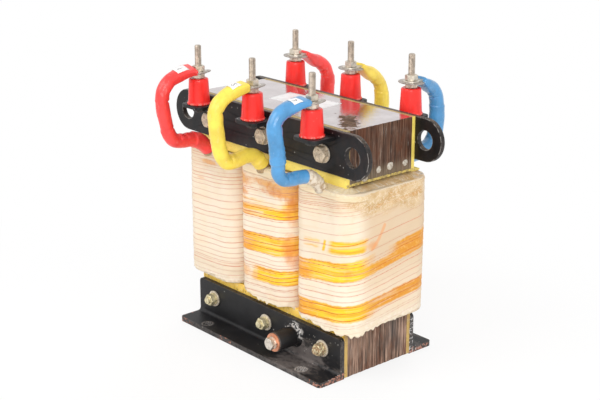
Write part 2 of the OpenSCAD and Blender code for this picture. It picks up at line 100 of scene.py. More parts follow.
class Field:
    """A value that varies over a surface and takes part in Python arithmetic."""

    def __init__(self, finish, socket):
        self.finish = finish
        self.socket = socket

    __add__ = operation("ADD")
    __radd__ = operation("ADD", swapped=True)
    __sub__ = operation("SUBTRACT")
    __rsub__ = operation("SUBTRACT", swapped=True)
    __mul__ = operation("MULTIPLY")
    __rmul__ = operation("MULTIPLY", swapped=True)
    __truediv__ = operation("DIVIDE")
    __pow__ = operation("POWER")
    __mod__ = operation("FLOORED_MODULO")
    __abs__ = operation("ABSOLUTE")
    least = operation("MINIMUM")
    most = operation("MAXIMUM")
    whole = operation("FLOOR")

    def __neg__(self):
        return self * -1.0

    def rise(self, low, high):
        """0 below low, 1 above high, smooth between."""
        return self.step(low, high, 0.0, 1.0)

    def fall(self, low, high):
        """1 below low, 0 above high, smooth between."""
        return self.step(low, high, 1.0, 0.0)

    def step(self, low, high, before, after):
        """A smooth step from one value to another."""
        settings = {"interpolation_type": "SMOOTHSTEP", "clamp": True}
        sockets = {0: self, 1: low, 2: high, 3: before, 4: after}
        return self.finish.node("ShaderNodeMapRange", settings, sockets)

    def ramp(self, *stops):
        """A colour ramp over the value."""
        return self.finish.node("ShaderNodeValToRGB", {"stops": stops}, {0: self})


class Nodes:
    """A node tree and the words to build it with."""

    def __init__(self, tree):
        self.tree = tree
        self.tree.nodes.clear()

    def node(self, kind, settings=None, sockets=None, output=0):
        """Any node: its type, its settings, then the values or links of its sockets."""
        made = self.tree.nodes.new(kind)
        for key, value in (settings or {}).items():
            if key == "stops":
                self.set_stops(made.color_ramp, value)
            else:
                setattr(made, key, value)
        for key, value in (sockets or {}).items():
            self.feed(made.inputs[key], value)
        if isinstance(output, tuple):
            return [Field(self, made.outputs[key]) for key in output]
        return Field(self, made.outputs[output]) if output is not None else made

    def set_stops(self, ramp, stops):
        while len(ramp.elements) < len(stops):
            ramp.elements.new(1.0)
        for element, (position, colour) in zip(ramp.elements, stops):
            element.position = position
            element.color = (*colour[:3], 1.0)

    def feed(self, socket, value):
        """Links a field to a socket, or sets a plain value on it."""
        if isinstance(value, Field):
            self.tree.links.new(value.socket, socket)
        elif socket.type == "RGBA" and len(value) == 3:
            socket.default_value = (*value, 1.0)
        else:
            socket.default_value = value

    def math(self, operation, *values):
        if not any(isinstance(v, Field) for v in values):
            raise TypeError("plain numbers are worked out in Python")
        return self.node("ShaderNodeMath", {"operation": operation}, dict(enumerate(values)))

    def seen(self):
        """1 for what the camera sees directly, in a reflection or through glass."""
        kinds = ("Is Camera Ray", "Is Glossy Ray", "Is Transmission Ray")
        camera, glossy, through = self.node("ShaderNodeLightPath", None, None, kinds)
        return camera.most(glossy).most(through)


class Finish(Nodes):
    """One material: a shader with a procedural surface."""

    def __init__(self, name):
        self.material = bpy.data.materials.new(name)
        self.material.use_nodes = True
        super().__init__(self.material.node_tree)
        self.shader = self.node("ShaderNodeBsdfPrincipled", None, None, None)
        surface = Field(self, self.shader.outputs[0])
        self.output = self.node("ShaderNodeOutputMaterial", None, {"Surface": surface}, None)
        self.place = None

    def mix(self, share, first, second):
        """Second colour over the first, by share."""
        settings = {"data_type": "RGBA", "blend_type": "MIX", "clamp_factor": True}
        return self.node("ShaderNodeMix", settings, {0: share, 6: first, 7: second}, 2)

    def point(self, along=(1.0, 1.0, 1.0)):
        """Place on the object in millimetres, stretched along each axis."""
        if self.place is None:
            self.place = self.node("ShaderNodeTexCoord", None, None, 3)
        scale = tuple(float(TO_MM) * a for a in along)
        return self.node("ShaderNodeVectorMath", {"operation": "MULTIPLY"}, {0: self.place, 1: scale})

    def xyz(self):
        """The three coordinates in millimetres."""
        return self.node("ShaderNodeSeparateXYZ", None, {0: self.point()}, (0, 1, 2))

    def facing(self):
        """The three parts of the surface normal."""
        normal = self.node("ShaderNodeNewGeometry", None, None, 1)
        return self.node("ShaderNodeSeparateXYZ", None, {0: normal}, (0, 1, 2))

    def vector(self, x, y, z):
        return self.node("ShaderNodeCombineXYZ", None, {0: x, 1: y, 2: z})

    def noise(self, size, along=(1.0, 1.0, 1.0), detail=3.0, rough=0.55, place=None):
        """Cloudy value from 0 to 1 with lumps of about the given size in millimetres."""
        where = place or self.point(along)
        sockets = {"Vector": where, "Scale": 1.0 / size, "Detail": detail, "Roughness": rough}
        return self.node("ShaderNodeTexNoise", None, sockets)

    def cells(self, size):
        """Distance to the nearest of scattered points, about size millimetres apart."""
        sockets = {"Vector": self.point(), "Scale": 1.0 / size}
        return self.node("ShaderNodeTexVoronoi", None, sockets)

    def scatter(self, number):
        """A fixed random value for each whole number."""
        return self.node("ShaderNodeTexWhiteNoise", {"noise_dimensions": "1D"}, {"W": number})

    def carried(self, name):
        """A value stored on the mesh."""
        return self.node("ShaderNodeAttribute", {"attribute_name": name}, None, 2)

    def bump(self, height, depth, strength=1.0):
        """Surface relief: height from 0 to 1 stands for depth millimetres."""
        sockets = {"Strength": strength, "Distance": depth * TO_M, "Height": height}
        return self.node("ShaderNodeBump", None, sockets)

    def strokes(self, u, v, points, width):
        """Mask of a line of the given width through points, in the units of u and v."""
        mask = None
        for (a, b), (d, e) in zip(points[:-1], points[1:]):
            across, up = d - a, e - b
            reach = across * across + up * up
            share = (((u - a) * across + (v - b) * up) / reach).most(0.0).least(1.0)
            off = ((u - a - share * across) ** 2.0 + (v - b - share * up) ** 2.0) ** 0.5
            mask = off if mask is None else mask.least(off)
        return mask.fall(width * 0.35, width * 0.65)

    def set(self, **sockets):
        """Sets or links the shader's sockets, named with underscores for spaces."""
        for key, value in sockets.items():
            self.feed(self.shader.inputs[key.replace("_", " ")], value)
        return self.material


def tinted(colour, other, share):
    """Some of another colour in a colour."""
    return tuple(a * (1 - share) + b * share for a, b in zip(tuple(colour)[:3], other))


def shade(colour, by):
    """A lighter or darker colour."""
    return tuple(min(1.0, c * by) for c in tuple(colour)[:3])


# Mesh helpers, all in millimetres


def add_piece(name, points, faces, material, slot=None, values=None):
    """A mesh piece in the row frame that rides on the one body."""
    mesh = bpy.data.meshes.new(name)
    mesh.from_pydata((np.asarray(points, float) * TO_M).tolist(), [], faces)
    mesh.validate()
    for key, numbers in (values or {}).items():
        stored = mesh.attributes.new(key, "FLOAT", "POINT")
        stored.data.foreach_set("value", np.asarray(numbers, np.float32))
    mesh.polygons.foreach_set("use_smooth", [True] * len(mesh.polygons))
    mesh.materials.append(material)
    mesh.update()
    piece = bpy.data.objects.new(name, mesh)
    bpy.context.scene.collection.objects.link(piece)
    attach(piece, "root")
    return piece


def sharpen(piece, degrees):
    """Keeps edges steeper than the angle crisp under smooth shading."""
    piece.data.set_sharp_from_angle(angle=math.radians(degrees))


def thicken(piece, millimetres, offset):
    """Gives a sheet of paper its thickness."""
    body = piece.modifiers.new("paper_thickness", "SOLIDIFY")
    body.thickness = millimetres * TO_M
    body.offset = offset


def grid_faces(rows, columns, closed=True, start=0):
    """Quads over rows of points, joined round when closed."""
    faces = []
    last = columns if closed else columns - 1
    for i in range(rows - 1):
        for k in range(last):
            a = start + i * columns + k
            b = start + i * columns + (k + 1) % columns
            faces.append((a, b, b + columns, a + columns))
    return faces


def circle(count):
    """Evenly spaced angles round a circle."""
    return np.arange(count) * 2 * math.pi / count


def turned(profile, count):
    """A surface about Z from (radius, height) pairs, either of which may vary round it."""
    angles = circle(count)
    sine, cosine = np.sin(angles), np.cos(angles)
    rows = [np.stack([r * cosine, r * sine, z + 0 * angles], 1) for r, z in profile]
    return np.concatenate(rows), grid_faces(len(profile), count)


def hexagon(across, height, bore):
    """A hexagon nut standing up, its corners turned off at 30 degrees on both faces."""
    count = 72
    folded = (circle(count) + math.pi / 6) % (math.pi / 3) - math.pi / 6
    reach = across / 2 / np.cos(folded)
    face = 0.465 * across
    cut = np.maximum(reach - face, 0) * math.tan(math.radians(30))
    lip = bore + 0.5
    profile = [
        (bore, height), (bore, 0.0), (lip, 0.0), (face, 0.0), (reach, cut),
        (reach, height - cut), (face, height), (lip, height), (bore, height - 0.4),
    ]
    return turned(profile, count)


def threaded(radius, low, high, pitch):
    """A screw thread about Z with a chamfered tip at the top."""
    count = 24
    steps_per_turn = 9
    chamfer = 1.1
    crest, groove, tip = 0.995, 0.11, 0.28
    steps = int((high - low) / pitch * steps_per_turn)
    angles = circle(count)
    profile = []
    for i in range(steps + 1):
        z = low + (high - low) * i / steps
        wave = np.abs(((z / pitch - angles / (2 * math.pi)) % 1.0) * 2 - 1)
        reach = radius * (crest - groove * np.clip(1.3 * wave - 0.15, 0, 1))
        limit = radius * (1 - tip * np.clip((z - high + chamfer) / chamfer, 0, 1))
        profile.append((np.minimum(reach, limit), z))
    profile.append((0.01, high))
    return turned(profile, count)


def washer(outer, hole, thick, edge):
    """A flat ring with its edges taken off."""
    profile = [
        (hole, edge), (hole + edge, 0), (outer - edge, 0), (outer, edge), (outer, thick - edge),
        (outer - edge, thick), (hole + edge, thick), (hole, thick - edge), (hole, edge),
    ]
    return turned(profile, 64)


def joined(parts):
    """Several (points, faces) as one."""
    points = []
    faces = []
    offset = 0
    for some, quads in parts:
        points.append(some)
        faces += [tuple(v + offset for v in quad) for quad in quads]
        offset += len(some)
    return np.concatenate(points), faces


def placed(part, spot, axis=(0, 0, 1), spin=0.0, tilt=(0.0, 0.0)):
    """A part made about Z, spun and tipped by degrees, laid along an axis and moved to a spot."""
    points, faces = part
    turn = Vector((0, 0, 1)).rotation_difference(Vector(axis)).to_matrix()
    for degrees, about in ((tilt[0], "X"), (tilt[1], "Y"), (spin, "Z")):
        turn = turn @ Matrix.Rotation(math.radians(degrees), 3, about)
    return points @ np.array(turn).T + np.array(spot, float), faces


def eased(share):
    """A share from 0 to 1, slower at both ends."""
    return share * share * (3 - 2 * share)


def lumps(seed, u, v, across, up):
    """Smooth bumps from -1 to 1 on a sheet, repeating along u; u and v run from 0 to 1."""
    grid = np.random.default_rng(seed).uniform(-1, 1, (up + 2, across))
    a = np.asarray(u) * across
    b = np.clip(v, 0, 1) * up
    i = np.floor(a).astype(int)
    j = np.floor(b).astype(int)
    p = eased(a - i)
    q = eased(b - j)
    lower = grid[j, i % across] * (1 - p) + grid[j, (i + 1) % across] * p
    upper = grid[j + 1, i % across] * (1 - p) + grid[j + 1, (i + 1) % across] * p
    return lower * (1 - q) + upper * q


def dress(names, material):
    """Gives CAD nodes a finish."""
    for name in names:
        mesh = NODES[name].data
        mesh.materials.clear()
        mesh.materials.append(material)


def soften(names, width):
    """Rounds the edges of CAD nodes by a width in millimetres, as on real stock."""
    for name in names:
        node = NODES[name]
        weld = node.modifiers.new("joined_edges", "WELD")
        weld.merge_threshold = 0.00001
        bevel = node.modifiers.new("rounded_edges", "BEVEL")
        bevel.width = width * TO_M
        bevel.segments = 2
        bevel.limit_method = "ANGLE"
        bevel.angle_limit = math.radians(40)


# What a user would change


def length(name, description, value):
    """A size in metres."""
    return bpy.props.FloatProperty(
        name=name, description=description, default=value, unit="LENGTH", precision=4
    )


def tint(name, description, value):
    """A colour."""
    return bpy.props.FloatVectorProperty(
        name=name, description=description, default=value, subtype="COLOR", size=3, min=0.0, max=1.0
    )


class ReactorSizes(bpy.types.PropertyGroup):
    """Sizes of what the looks add to the frame."""

    coil_corner: length("Coil corner", "Radius of the upright corners of a coil", 0.026)
    coil_frill: length("Coil frill", "How far the frayed tape hangs below a coil", 0.003)
    tape_step: length("Tape step", "Height of the step where one turn of tape laps over another", 0.00055)
    lead_width: length("Lead width", "Diameter of a sleeved lead", 0.017)
    thread_pitch: length("Thread pitch", "Pitch of the terminal stud threads", 0.00125)
    edge_round: length("Edge rounding", "Rounding along the edges of bars and angles", 0.0007)


class ReactorColours(bpy.types.PropertyGroup):
    """Main colours of the finishes."""

    tape: tint("Tape", "Cream coil tape", (0.79, 0.70, 0.57))
    thread: tint("Thread", "Coloured thread along the tape", (0.60, 0.19, 0.115))
    varnish_yellow: tint("Yellow varnish", "Thick varnish on the tape", (0.98, 0.62, 0.012))
    varnish_orange: tint("Orange varnish", "Burnt varnish on the tape", (0.82, 0.34, 0.022))
    resin_tan: tint("Tan resin", "Resin along the coil tops", (0.55, 0.35, 0.15))
    red_sleeve: tint("Red sleeve", "Sleeve of the first phase", (0.94, 0.055, 0.052))
    yellow_sleeve: tint("Yellow sleeve", "Sleeve of the second phase", (0.98, 0.71, 0.095))
    blue_sleeve: tint("Blue sleeve", "Sleeve of the third phase", (0.075, 0.29, 0.57))
    red_resin: tint("Red resin", "Moulded insulators", (0.94, 0.030, 0.024))
    black_paint: tint("Black paint", "Paint on bars and angles", (0.0075, 0.0072, 0.0080))
    board: tint("Board", "Insulating boards", (0.93, 0.73, 0.15))
    steel_brown: tint("Lamination brown", "Varnished lamination edges", (0.135, 0.070, 0.046))


# Finishes


def sheet_edges(f, c, y, z, sheets, runs):
    """Colour of the sheets' edges: brown varnish in streaks, rust, and bare split edges low down."""
    packs = f.noise(4.2, (0.05, 1.0, 0.05), 3.0, 0.6)
    blotch = f.noise(26.0, (1.0, 0.7, 1.0))
    rusty = f.noise(15.0, (1.0, 1.0, 0.45), 4.0, 0.6)
    pale = f.noise(1.1, (1.0, 1.0, 0.05), 3.0, 0.6).rise(0.60, 0.72) * rusty.fall(0.40, 0.56)
    split = f.noise(2.6, (0.1, 1.0, 0.05), 3.0, 0.7)
    lower = z.fall(60.0, 75.0)
    smudge = (abs(y - 24.0) / 14.0).most(abs(z - 42.0) / 26.0)
    smudge = (smudge + (blotch - 0.5) * 2.0).fall(0.4, 1.3) * lower
    haze = z.rise(228.0, 229.5) * z.fall(231.0, 247.0)
    edge = sheets.ramp(
        (0.30, shade(c.steel_brown, 0.14)),
        (0.43, shade(c.steel_brown, 0.50)),
        (0.55, shade(c.steel_brown, 0.9)),
        (0.66, (0.23, 0.130, 0.082)),
        (0.80, (0.44, 0.32, 0.25)),
    )
    for share, colour in (
        (packs.rise(0.50, 0.64) * 0.45, (0.095, 0.042, 0.024)),
        (packs.fall(0.36, 0.46) * 0.55, (0.035, 0.020, 0.014)),
        (z.fall(60.0, 200.0) * 0.50, (0.34, 0.22, 0.16)),
        (runs.rise(0.58, 0.74) * 0.5, (0.034, 0.021, 0.016)),
        (runs.fall(0.30, 0.42) * 0.35, (0.44, 0.34, 0.27)),
        (blotch.rise(0.56, 0.78) * 0.18, (0.40, 0.33, 0.28)),
        (rusty.rise(0.50, 0.66) * 0.6, (0.125, 0.040, 0.018)),
        (pale * 0.8, (0.54, 0.50, 0.45)),
        (lower * split.rise(0.52, 0.64) * 0.7, (0.55, 0.37, 0.28)),
        (lower * split.fall(0.37, 0.48) * 0.8, (0.045, 0.034, 0.028)),
        (smudge * 0.55, (0.085, 0.075, 0.070)),
        (haze * (0.30 + runs * 0.35), (0.30, 0.25, 0.17)),
    ):
        edge = f.mix(share, edge, colour)
    return edge


def yoke_top(f, x, y, top, cloud):
    """Colour of the yoke's glossy top, and where it is worn along its rim and in one torn patch."""
    grain = f.noise(1.2, (0.03, 1.0, 1.0), 3.0, 0.6)
    stain = f.noise(9.0, detail=4.0, rough=0.6)
    inset = (YOKE_HIGH[0] - abs(x)).least(YOKE_HIGH[1] - abs(y))
    worn = (inset * 0.09 + stain).fall(0.34, 0.52) * 0.6
    torn_across = abs(x * 0.64 + y * 0.77 - 47.0) / 14.0
    torn_along = abs(x * 0.77 - y * 0.64 - 90.0) / 44.0
    torn = (torn_across.most(torn_along) + (stain - 0.5) * 2.2).fall(0.55, 0.75)
    worn = worn.most(torn) * top
    under = f.mix(grain.rise(0.40, 0.70), (0.060, 0.032, 0.020), (0.26, 0.16, 0.10))
    fleck = f.noise(1.8, detail=3.0).rise(0.66, 0.70) * torn
    plate = f.mix(cloud.rise(0.35, 0.75), (0.55, 0.49, 0.49), (0.66, 0.60, 0.60))
    plate = f.mix(grain.rise(0.55, 0.75) * 0.22, plate, (0.28, 0.20, 0.16))
    plate = f.mix(worn, plate, under)
    plate = f.mix(fleck, plate, (0.72, 0.66, 0.62))
    return plate, worn


def lamination_finish(c):
    """Varnished sheet edges: streaked brown at the ends, glossy grey on top."""
    f = Finish("varnished_laminations")
    x, y, z = f.xyz()
    top = f.facing()[2].rise(0.6, 0.9)
    sheets = f.noise(1.0, (0.02, 1.0, 0.03), 3.0, 0.6)
    runs = f.noise(4.0, (0.2, 1.0, 0.10), 4.0, 0.65)
    cloud = f.noise(24.0)
    edge = sheet_edges(f, c, y, z, sheets, runs)
    plate, worn = yoke_top(f, x, y, top, cloud)
    return f.set(
        Base_Color=f.mix(top, edge, plate),
        Metallic=top * (1.0 - worn) * 0.92,
        Roughness=top * (0.05 + cloud * 0.05 + worn * 0.62) + (1.0 - top) * (0.36 + runs * 0.3),
        Specular_IOR_Level=0.18,
        Normal=f.bump(sheets * 0.6 + runs * 0.4, 0.30, 0.5),
    )


def board_finish(c):
    """Yellow insulating board: clean on the yoke, soaked and dirty round the feet of the coils."""
    f = Finish("yellow_board")
    y, z = f.xyz()[1:]
    nx, _, nz = f.facing()
    cloud = f.noise(22.0)
    fibre = f.noise(1.5, (0.3, 1.0, 1.0), 4.0, 0.6)
    grit = f.noise(4.0, detail=4.0, rough=0.65)
    base = f.mix(cloud.rise(0.3, 0.7), shade(c.board, 0.92), shade(c.board, 1.08))
    base = f.mix(fibre.rise(0.5, 0.8) * 0.25, base, shade(c.board, 0.62))
    low = z.fall(62.0, 100.0)
    drip = f.noise(9.0, (1.0, 1.0, 0.35), 4.0, 0.6)
    base = f.mix(low * 0.66, base, (0.98, 0.58, 0.08))
    base = f.mix(low * drip.rise(0.50, 0.66) * 0.50, base, (0.40, 0.19, 0.03))
    base = f.mix(low * grit.rise(0.58, 0.66) * 0.75, base, (0.88, 0.74, 0.44))
    base = f.mix(low * grit.fall(0.32, 0.40) * 0.8, base, (0.06, 0.035, 0.018))
    base = f.mix(low * abs(nx).rise(0.5, 0.9) * 0.62, base, (0.30, 0.20, 0.10))
    sheet = z.rise(225.4, 226.4) * z.fall(228.6, 229.6) * abs(nx).rise(0.5, 0.9)
    base = f.mix(sheet * grit.rise(0.40, 0.55) * 0.8, base, (0.20, 0.13, 0.06))
    base = f.mix(sheet * 0.35, base, (0.55, 0.42, 0.20))
    rim = nz.rise(0.5, 0.9) * z.rise(280.0, 286.0)
    base = f.mix(rim * (0.45 + grit * 0.6), base, (0.22, 0.15, 0.09))
    end = nx.rise(0.5, 0.9) * y.fall(-46.0, -45.0) * z.rise(236.0, 250.0)
    base = f.mix(end * 0.85, base, (0.13, 0.075, 0.04))
    dots = f.noise(2.2, detail=2.0, rough=0.5).rise(0.66, 0.72)
    base = f.mix(dots * 0.55, base, (0.10, 0.055, 0.02))
    return f.set(
        Base_Color=base,
        Roughness=0.34 + fibre * 0.25,
        Normal=f.bump(fibre * 0.6 + grit * 0.4, 0.25, 0.5),
    )


class TapeFinish(Finish):
    """Cream woven tape: coloured threads along each turn, varnish in bands, resin near the top.
    Along runs round a coil and level up it, both stored on the mesh in millimetres."""

    def __init__(self, name):
        super().__init__(name)
        along = self.carried("along")
        level = self.carried("level")
        sheet = self.vector(along, level, 0.0)
        drawn = level - (along - FRONT_START) * 0.11
        self.along = along
        self.level = level
        self.broken = self.noise(14.0, place=self.vector(along, level * 3.0, 3.0))
        self.streak = self.noise(6.0, place=self.vector(along * 0.07, drawn, 7.0), detail=4.0, rough=0.6)
        self.hair = self.noise(1.5, place=self.vector(along * 0.03, drawn, 17.0), detail=2.0, rough=0.5)
        self.cloud = self.noise(26.0, place=sheet)
        self.crush = self.noise(5.0, place=sheet, detail=4.0, rough=0.6)
        self.wobble = (self.noise(14.0, place=self.vector(along, level * 0.5, 11.0)) - 0.5) * 5.0
        self.free = along.fall(*SIDE_END)
        self.side = along.rise(156.0, 182.0) * self.free

    def cream(self, c, aged_front, aged_side_shade, side_shade, foot_tint):
        """The bare tape, browner with age higher up and at its foot, and browner on its side face as painted
        shade.
        """
        base = self.mix(self.cloud.rise(0.34, 0.74) * 0.8, shade(c.tape, 1.06), (0.82, 0.70, 0.52))
        base = self.mix(self.streak.rise(0.52, 0.74) * 0.32, base, (0.80, 0.57, 0.36))
        base = self.mix(self.hair.rise(0.57, 0.68) * 0.18, base, (0.76, 0.46, 0.30))
        # Painted shade on the side face: a browner tint, and more browning higher up than on the front.
        base = self.mix(self.side * side_shade, base, (0.74, 0.56, 0.37))
        aged = self.level.rise(96.0, 150.0) * (aged_front + self.side * (aged_side_shade - aged_front))
        foot = (self.level + (self.cloud - 0.5) * 24.0).fall(64.0, 112.0)
        return self.mix(aged.most(foot * foot_tint), base, (0.60, 0.42, 0.25))

    def band_masks(self, bands):
        """Where the varnish bands lie, and how near a spot is to a band's burnt rim."""
        stain = None
        burn = None
        for start, end, low, high, tilt, patchy, soft in bands:
            here = self.level - (self.along - FRONT_START) * tilt
            here = here + self.wobble * 0.4 + (self.crush - 0.5) * 3.0
            inside = here.rise(low - 1.3, low + 0.9) * here.fall(high - 0.9, high + 1.3)
            slant = self.along + self.wobble * soft * 0.4 - (self.level - low) * 0.25
            inside = inside * slant.rise(start - soft, start + soft) * slant.fall(end - soft, end + soft)
            thin = self.streak.rise(0.14 + 0.28 * patchy, 0.34 + 0.40 * patchy)
            inside = inside * thin.most(1.0 - patchy)
            rim = (abs(here - (low + high) / 2) / ((high - low) / 2)).rise(0.55, 1.05) * inside
            stain = inside if stain is None else stain.most(inside)
            burn = rim if burn is None else burn.most(rim)
        return stain, burn

    def varnished(self, base, c, stain, burn):
        """Bands of varnish: yellow where it lies thick, orange at the rims, and darker orange on the side
        face as painted shade.
        """
        # Orange towards the left end of the front, and on the side face as painted shade.
        far = self.along.fall(70.0, 118.0).most(self.along.rise(158.0, 196.0))
        orange_and_painted_shade = (far * 0.95).most(burn * 0.7).most(self.streak.rise(0.50, 0.68) * 0.8)
        varnish = self.mix(orange_and_painted_shade, c.varnish_yellow, c.varnish_orange)
        varnish = self.mix(self.hair.rise(0.50, 0.66) * 0.55, varnish, shade(c.varnish_orange, 0.9))
        varnish = self.mix(self.cloud.rise(0.54, 0.74) * 0.55, varnish, (0.80, 0.25, 0.016))
        varnish = self.mix(self.crush.rise(0.55, 0.72) * 0.20, varnish, (0.96, 0.70, 0.30))
        # Painted shade: darker orange on the side face.
        varnish = self.mix(self.side * 0.65, varnish, (0.66, 0.27, 0.022))
        varnish = self.mix(self.side * self.crush.rise(0.48, 0.68) * 0.55, varnish, (0.80, 0.47, 0.13))
        return self.mix(stain * 0.98, base, varnish)

    def marked(self, base, blots, scratches):
        """Burnt blots and drawn out scratches."""
        for start, height, wide, tall, share in blots:
            reach = ((self.along - start) / wide) ** 2.0 + ((self.level - height) / tall) ** 2.0
            spot = reach + (self.crush - 0.5) * 1.8 + (self.streak - 0.5) * 0.9
            burnt = self.mix(self.cloud.rise(0.4, 0.6), (0.86, 0.42, 0.09), (0.72, 0.25, 0.045))
            base = self.mix(spot.fall(0.0, 1.5) * share, base, burnt)
        for points, width, share in scratches:
            stroke = self.strokes(self.along, self.level + self.wobble * 0.2, points, width)
            base = self.mix(stroke * share, base, (0.80, 0.33, 0.12))
        return base

    def threads(self, base, c, stain):
        """A broken coloured thread along each turn, darker in the varnish, none on the rolled rim."""
        turn = self.carried("turn")
        whole = (turn + 0.5).whole()
        off = abs(turn - whole) * self.carried("gap")
        luck = self.scatter(whole)
        below = self.level.fall(217.6, 219.4)
        line = off.fall(0.16, 0.50) * (0.50 + luck * 0.50) * self.broken.rise(0.20, 0.42) * below
        soft_line = off.fall(0.3, 1.7) * luck.rise(0.25, 0.9) * 0.22 * below
        tone = c.thread
        pale = (0.76, 0.40, 0.26)
        if stain is not None:
            tone = self.mix(stain, tone, (0.56, 0.10, 0.008))
            pale = self.mix(stain, pale, (0.78, 0.24, 0.012))
            line = line * (1.0 + stain * 0.5)
        base = self.mix(soft_line, base, pale)
        return self.mix(line, base, tone)

    def resin(self, base, c, tan):
        """Tan resin near the top, thin in places and wrinkled, with painted glints along the wrinkles."""
        place = self.vector(self.along * 0.6, self.level, 23.0)
        thick = self.noise(11.0, place=place, detail=3.0, rough=0.55)
        base = self.mix(tan, base, self.mix(thick.rise(0.36, 0.66), c.resin_tan, (0.70, 0.52, 0.30)))
        base = self.mix(tan * thick.fall(0.32, 0.42) * 0.45, base, (0.66, 0.33, 0.09))
        base = self.mix(tan * self.hair.rise(0.52, 0.64) * 0.35, base, (0.62, 0.30, 0.08))
        # Painted highlight: pale glints along the wrinkles of the resin.
        wrinkle_glint = abs(self.crush - 0.5).fall(0.004, 0.026) * self.cloud.rise(0.38, 0.52)
        return self.mix(tan * wrinkle_glint * 0.6, base, (0.93, 0.85, 0.70))

    def ends(self, base, lip):
        """The rolled top, with painted shade inside it where it runs in under the yoke, and the bare, frayed
        foot.
        """
        crush = self.crush
        edge = self.level + self.wobble * 0.5
        front = 1.0 - self.side
        base = self.mix(edge.rise(213.2, 214.2) * front * 0.55, base, (0.84, 0.72, 0.48))
        rolled = abs(edge - 213.3).fall(0.3, 0.9) * front * self.broken.rise(0.3, 0.5)
        base = self.mix(rolled * 0.5, base, (0.42, 0.22, 0.10))
        base = self.mix(lip * crush.rise(0.52, 0.64) * 0.35, base, (0.62, 0.46, 0.26))
        base = self.mix(lip * crush.fall(0.36, 0.46) * 0.5, base, (0.86, 0.80, 0.70))
        # Painted shade on the inner top of the coil, in the gap under the yoke.
        inner = (self.level + (crush - 0.5) * 1.2).rise(224.9, 225.7)
        dark = self.mix(crush.rise(0.4, 0.6), (0.10, 0.06, 0.03), (0.34, 0.23, 0.11))
        base = self.mix(inner * 0.85, base, dark)
        bare = (self.level + (crush - 0.5) * 9.0).fall(68.0, 78.0) * self.along.rise(146.0, 168.0)
        paste = self.mix(crush.rise(0.46, 0.62), (0.78, 0.68, 0.52), (0.86, 0.78, 0.68))
        base = self.mix(bare * 0.62, base, paste)
        return self.mix(self.level.fall(60.5, 67.0) * 0.75, base, (0.80, 0.70, 0.53))


def tape_finish(name, c, marks, wear_and_shade):
    """The tape of one coil. Marks are its bands, blots and scratches; the last argument is a row of the
    coils' table of wear and painted shade.
    """
    bands, blots, scratches = marks
    tan_front, tan_side, *ageing_and_shade = wear_and_shade
    f = TapeFinish(name)
    crown = f.level + f.side * 5.0 + (f.cloud - 0.5) * 34.0 + (f.crush - 0.5) * 10.0
    tan = f.along.rise(124.0, 166.0) * f.free * (tan_side - tan_front) + tan_front
    tan = crown.rise(191.0, 213.0) * tan
    lip = (f.level + (f.crush - 0.5) * 6.0).rise(217.0, 222.0)
    gloss = tan
    base = f.cream(c, *ageing_and_shade)
    stain, burn = f.band_masks(bands)
    if stain is not None:
        stain = stain * (1.0 - f.hair.fall(0.36, 0.44) * 0.30)
        base = f.varnished(base, c, stain, burn)
        gloss = tan.most(stain * 0.30)
    base = f.marked(base, blots, scratches)
    base = f.threads(base, c, stain)
    base = f.resin(base, c, tan)
    base = f.ends(base, lip)
    weave = abs((f.level * 1.1) % 1.0 - 0.5) + abs((f.along * 0.9) % 1.0 - 0.5)
    relief = weave * 0.22 + f.streak * 0.25 + f.broken * 0.23 + f.crush * (0.3 + lip * 0.8 + tan * 0.8)
    return f.set(
        Base_Color=base,
        Roughness=0.60 - gloss * 0.28,
        Specular_IOR_Level=0.26,
        Coat_Weight=0.02 + gloss * 0.36,
        Coat_Roughness=0.16,
        Normal=f.bump(relief, 0.6, 0.6),
    )


def sleeve_finish(name, colour, crease_shade, speckled, shine):
    """Shrunk sleeve: soft gloss, fine creases darkened with painted shade, and handling marks."""
    f = Finish(name)
    cloud = f.noise(16.0)
    fine = f.noise(2.2, detail=4.0, rough=0.6)
    crease = f.noise(5.0, (1.0, 1.0, 0.5), 3.0, 0.6)
    base = f.mix(cloud.rise(0.3, 0.72), shade(colour, 0.84), shade(colour, 1.1))
    # Painted shade: darker colour in the creases; paler between them.
    base = f.mix(crease.rise(0.58, 0.74) * 0.22, base, tinted(shade(colour, 0.7), crease_shade, 0.3))
    base = f.mix(crease.fall(0.28, 0.40) * 0.25, base, tinted(colour, (1.0, 1.0, 1.0), 0.3))
    scuff = f.noise(1.3, detail=2.0).rise(0.69, 0.77)
    base = f.mix(scuff * speckled, base, shade(colour, 0.28))
    return f.set(
        Base_Color=base,
        Roughness=0.38 - shine * 0.14 + fine * 0.16,
        Specular_IOR_Level=0.35,
        Coat_Weight=shine * 0.6,
        Coat_Roughness=0.10,
        Normal=f.bump(crease * 0.7 + fine * 0.3, 0.5, 0.4),
    )


def cloth_finish(name, fresh, soaked, fluff):
    """Cloth binding over the lead tails, soaked with varnish in places."""
    f = Finish(name)
    x, _, z = f.xyz()
    ribs = ((z + x * 0.35) * 0.45) % 1.0
    soak = f.noise(5.0)
    base = f.mix(soak.rise(0.42, 0.7), fresh, soaked)
    base = f.mix(f.noise(1.6).rise(0.55, 0.70) * 0.6, base, fluff)
    return f.set(Base_Color=base, Roughness=0.55 + soak * 0.2, Normal=f.bump(abs(ribs - 0.5), 0.5, 0.7))


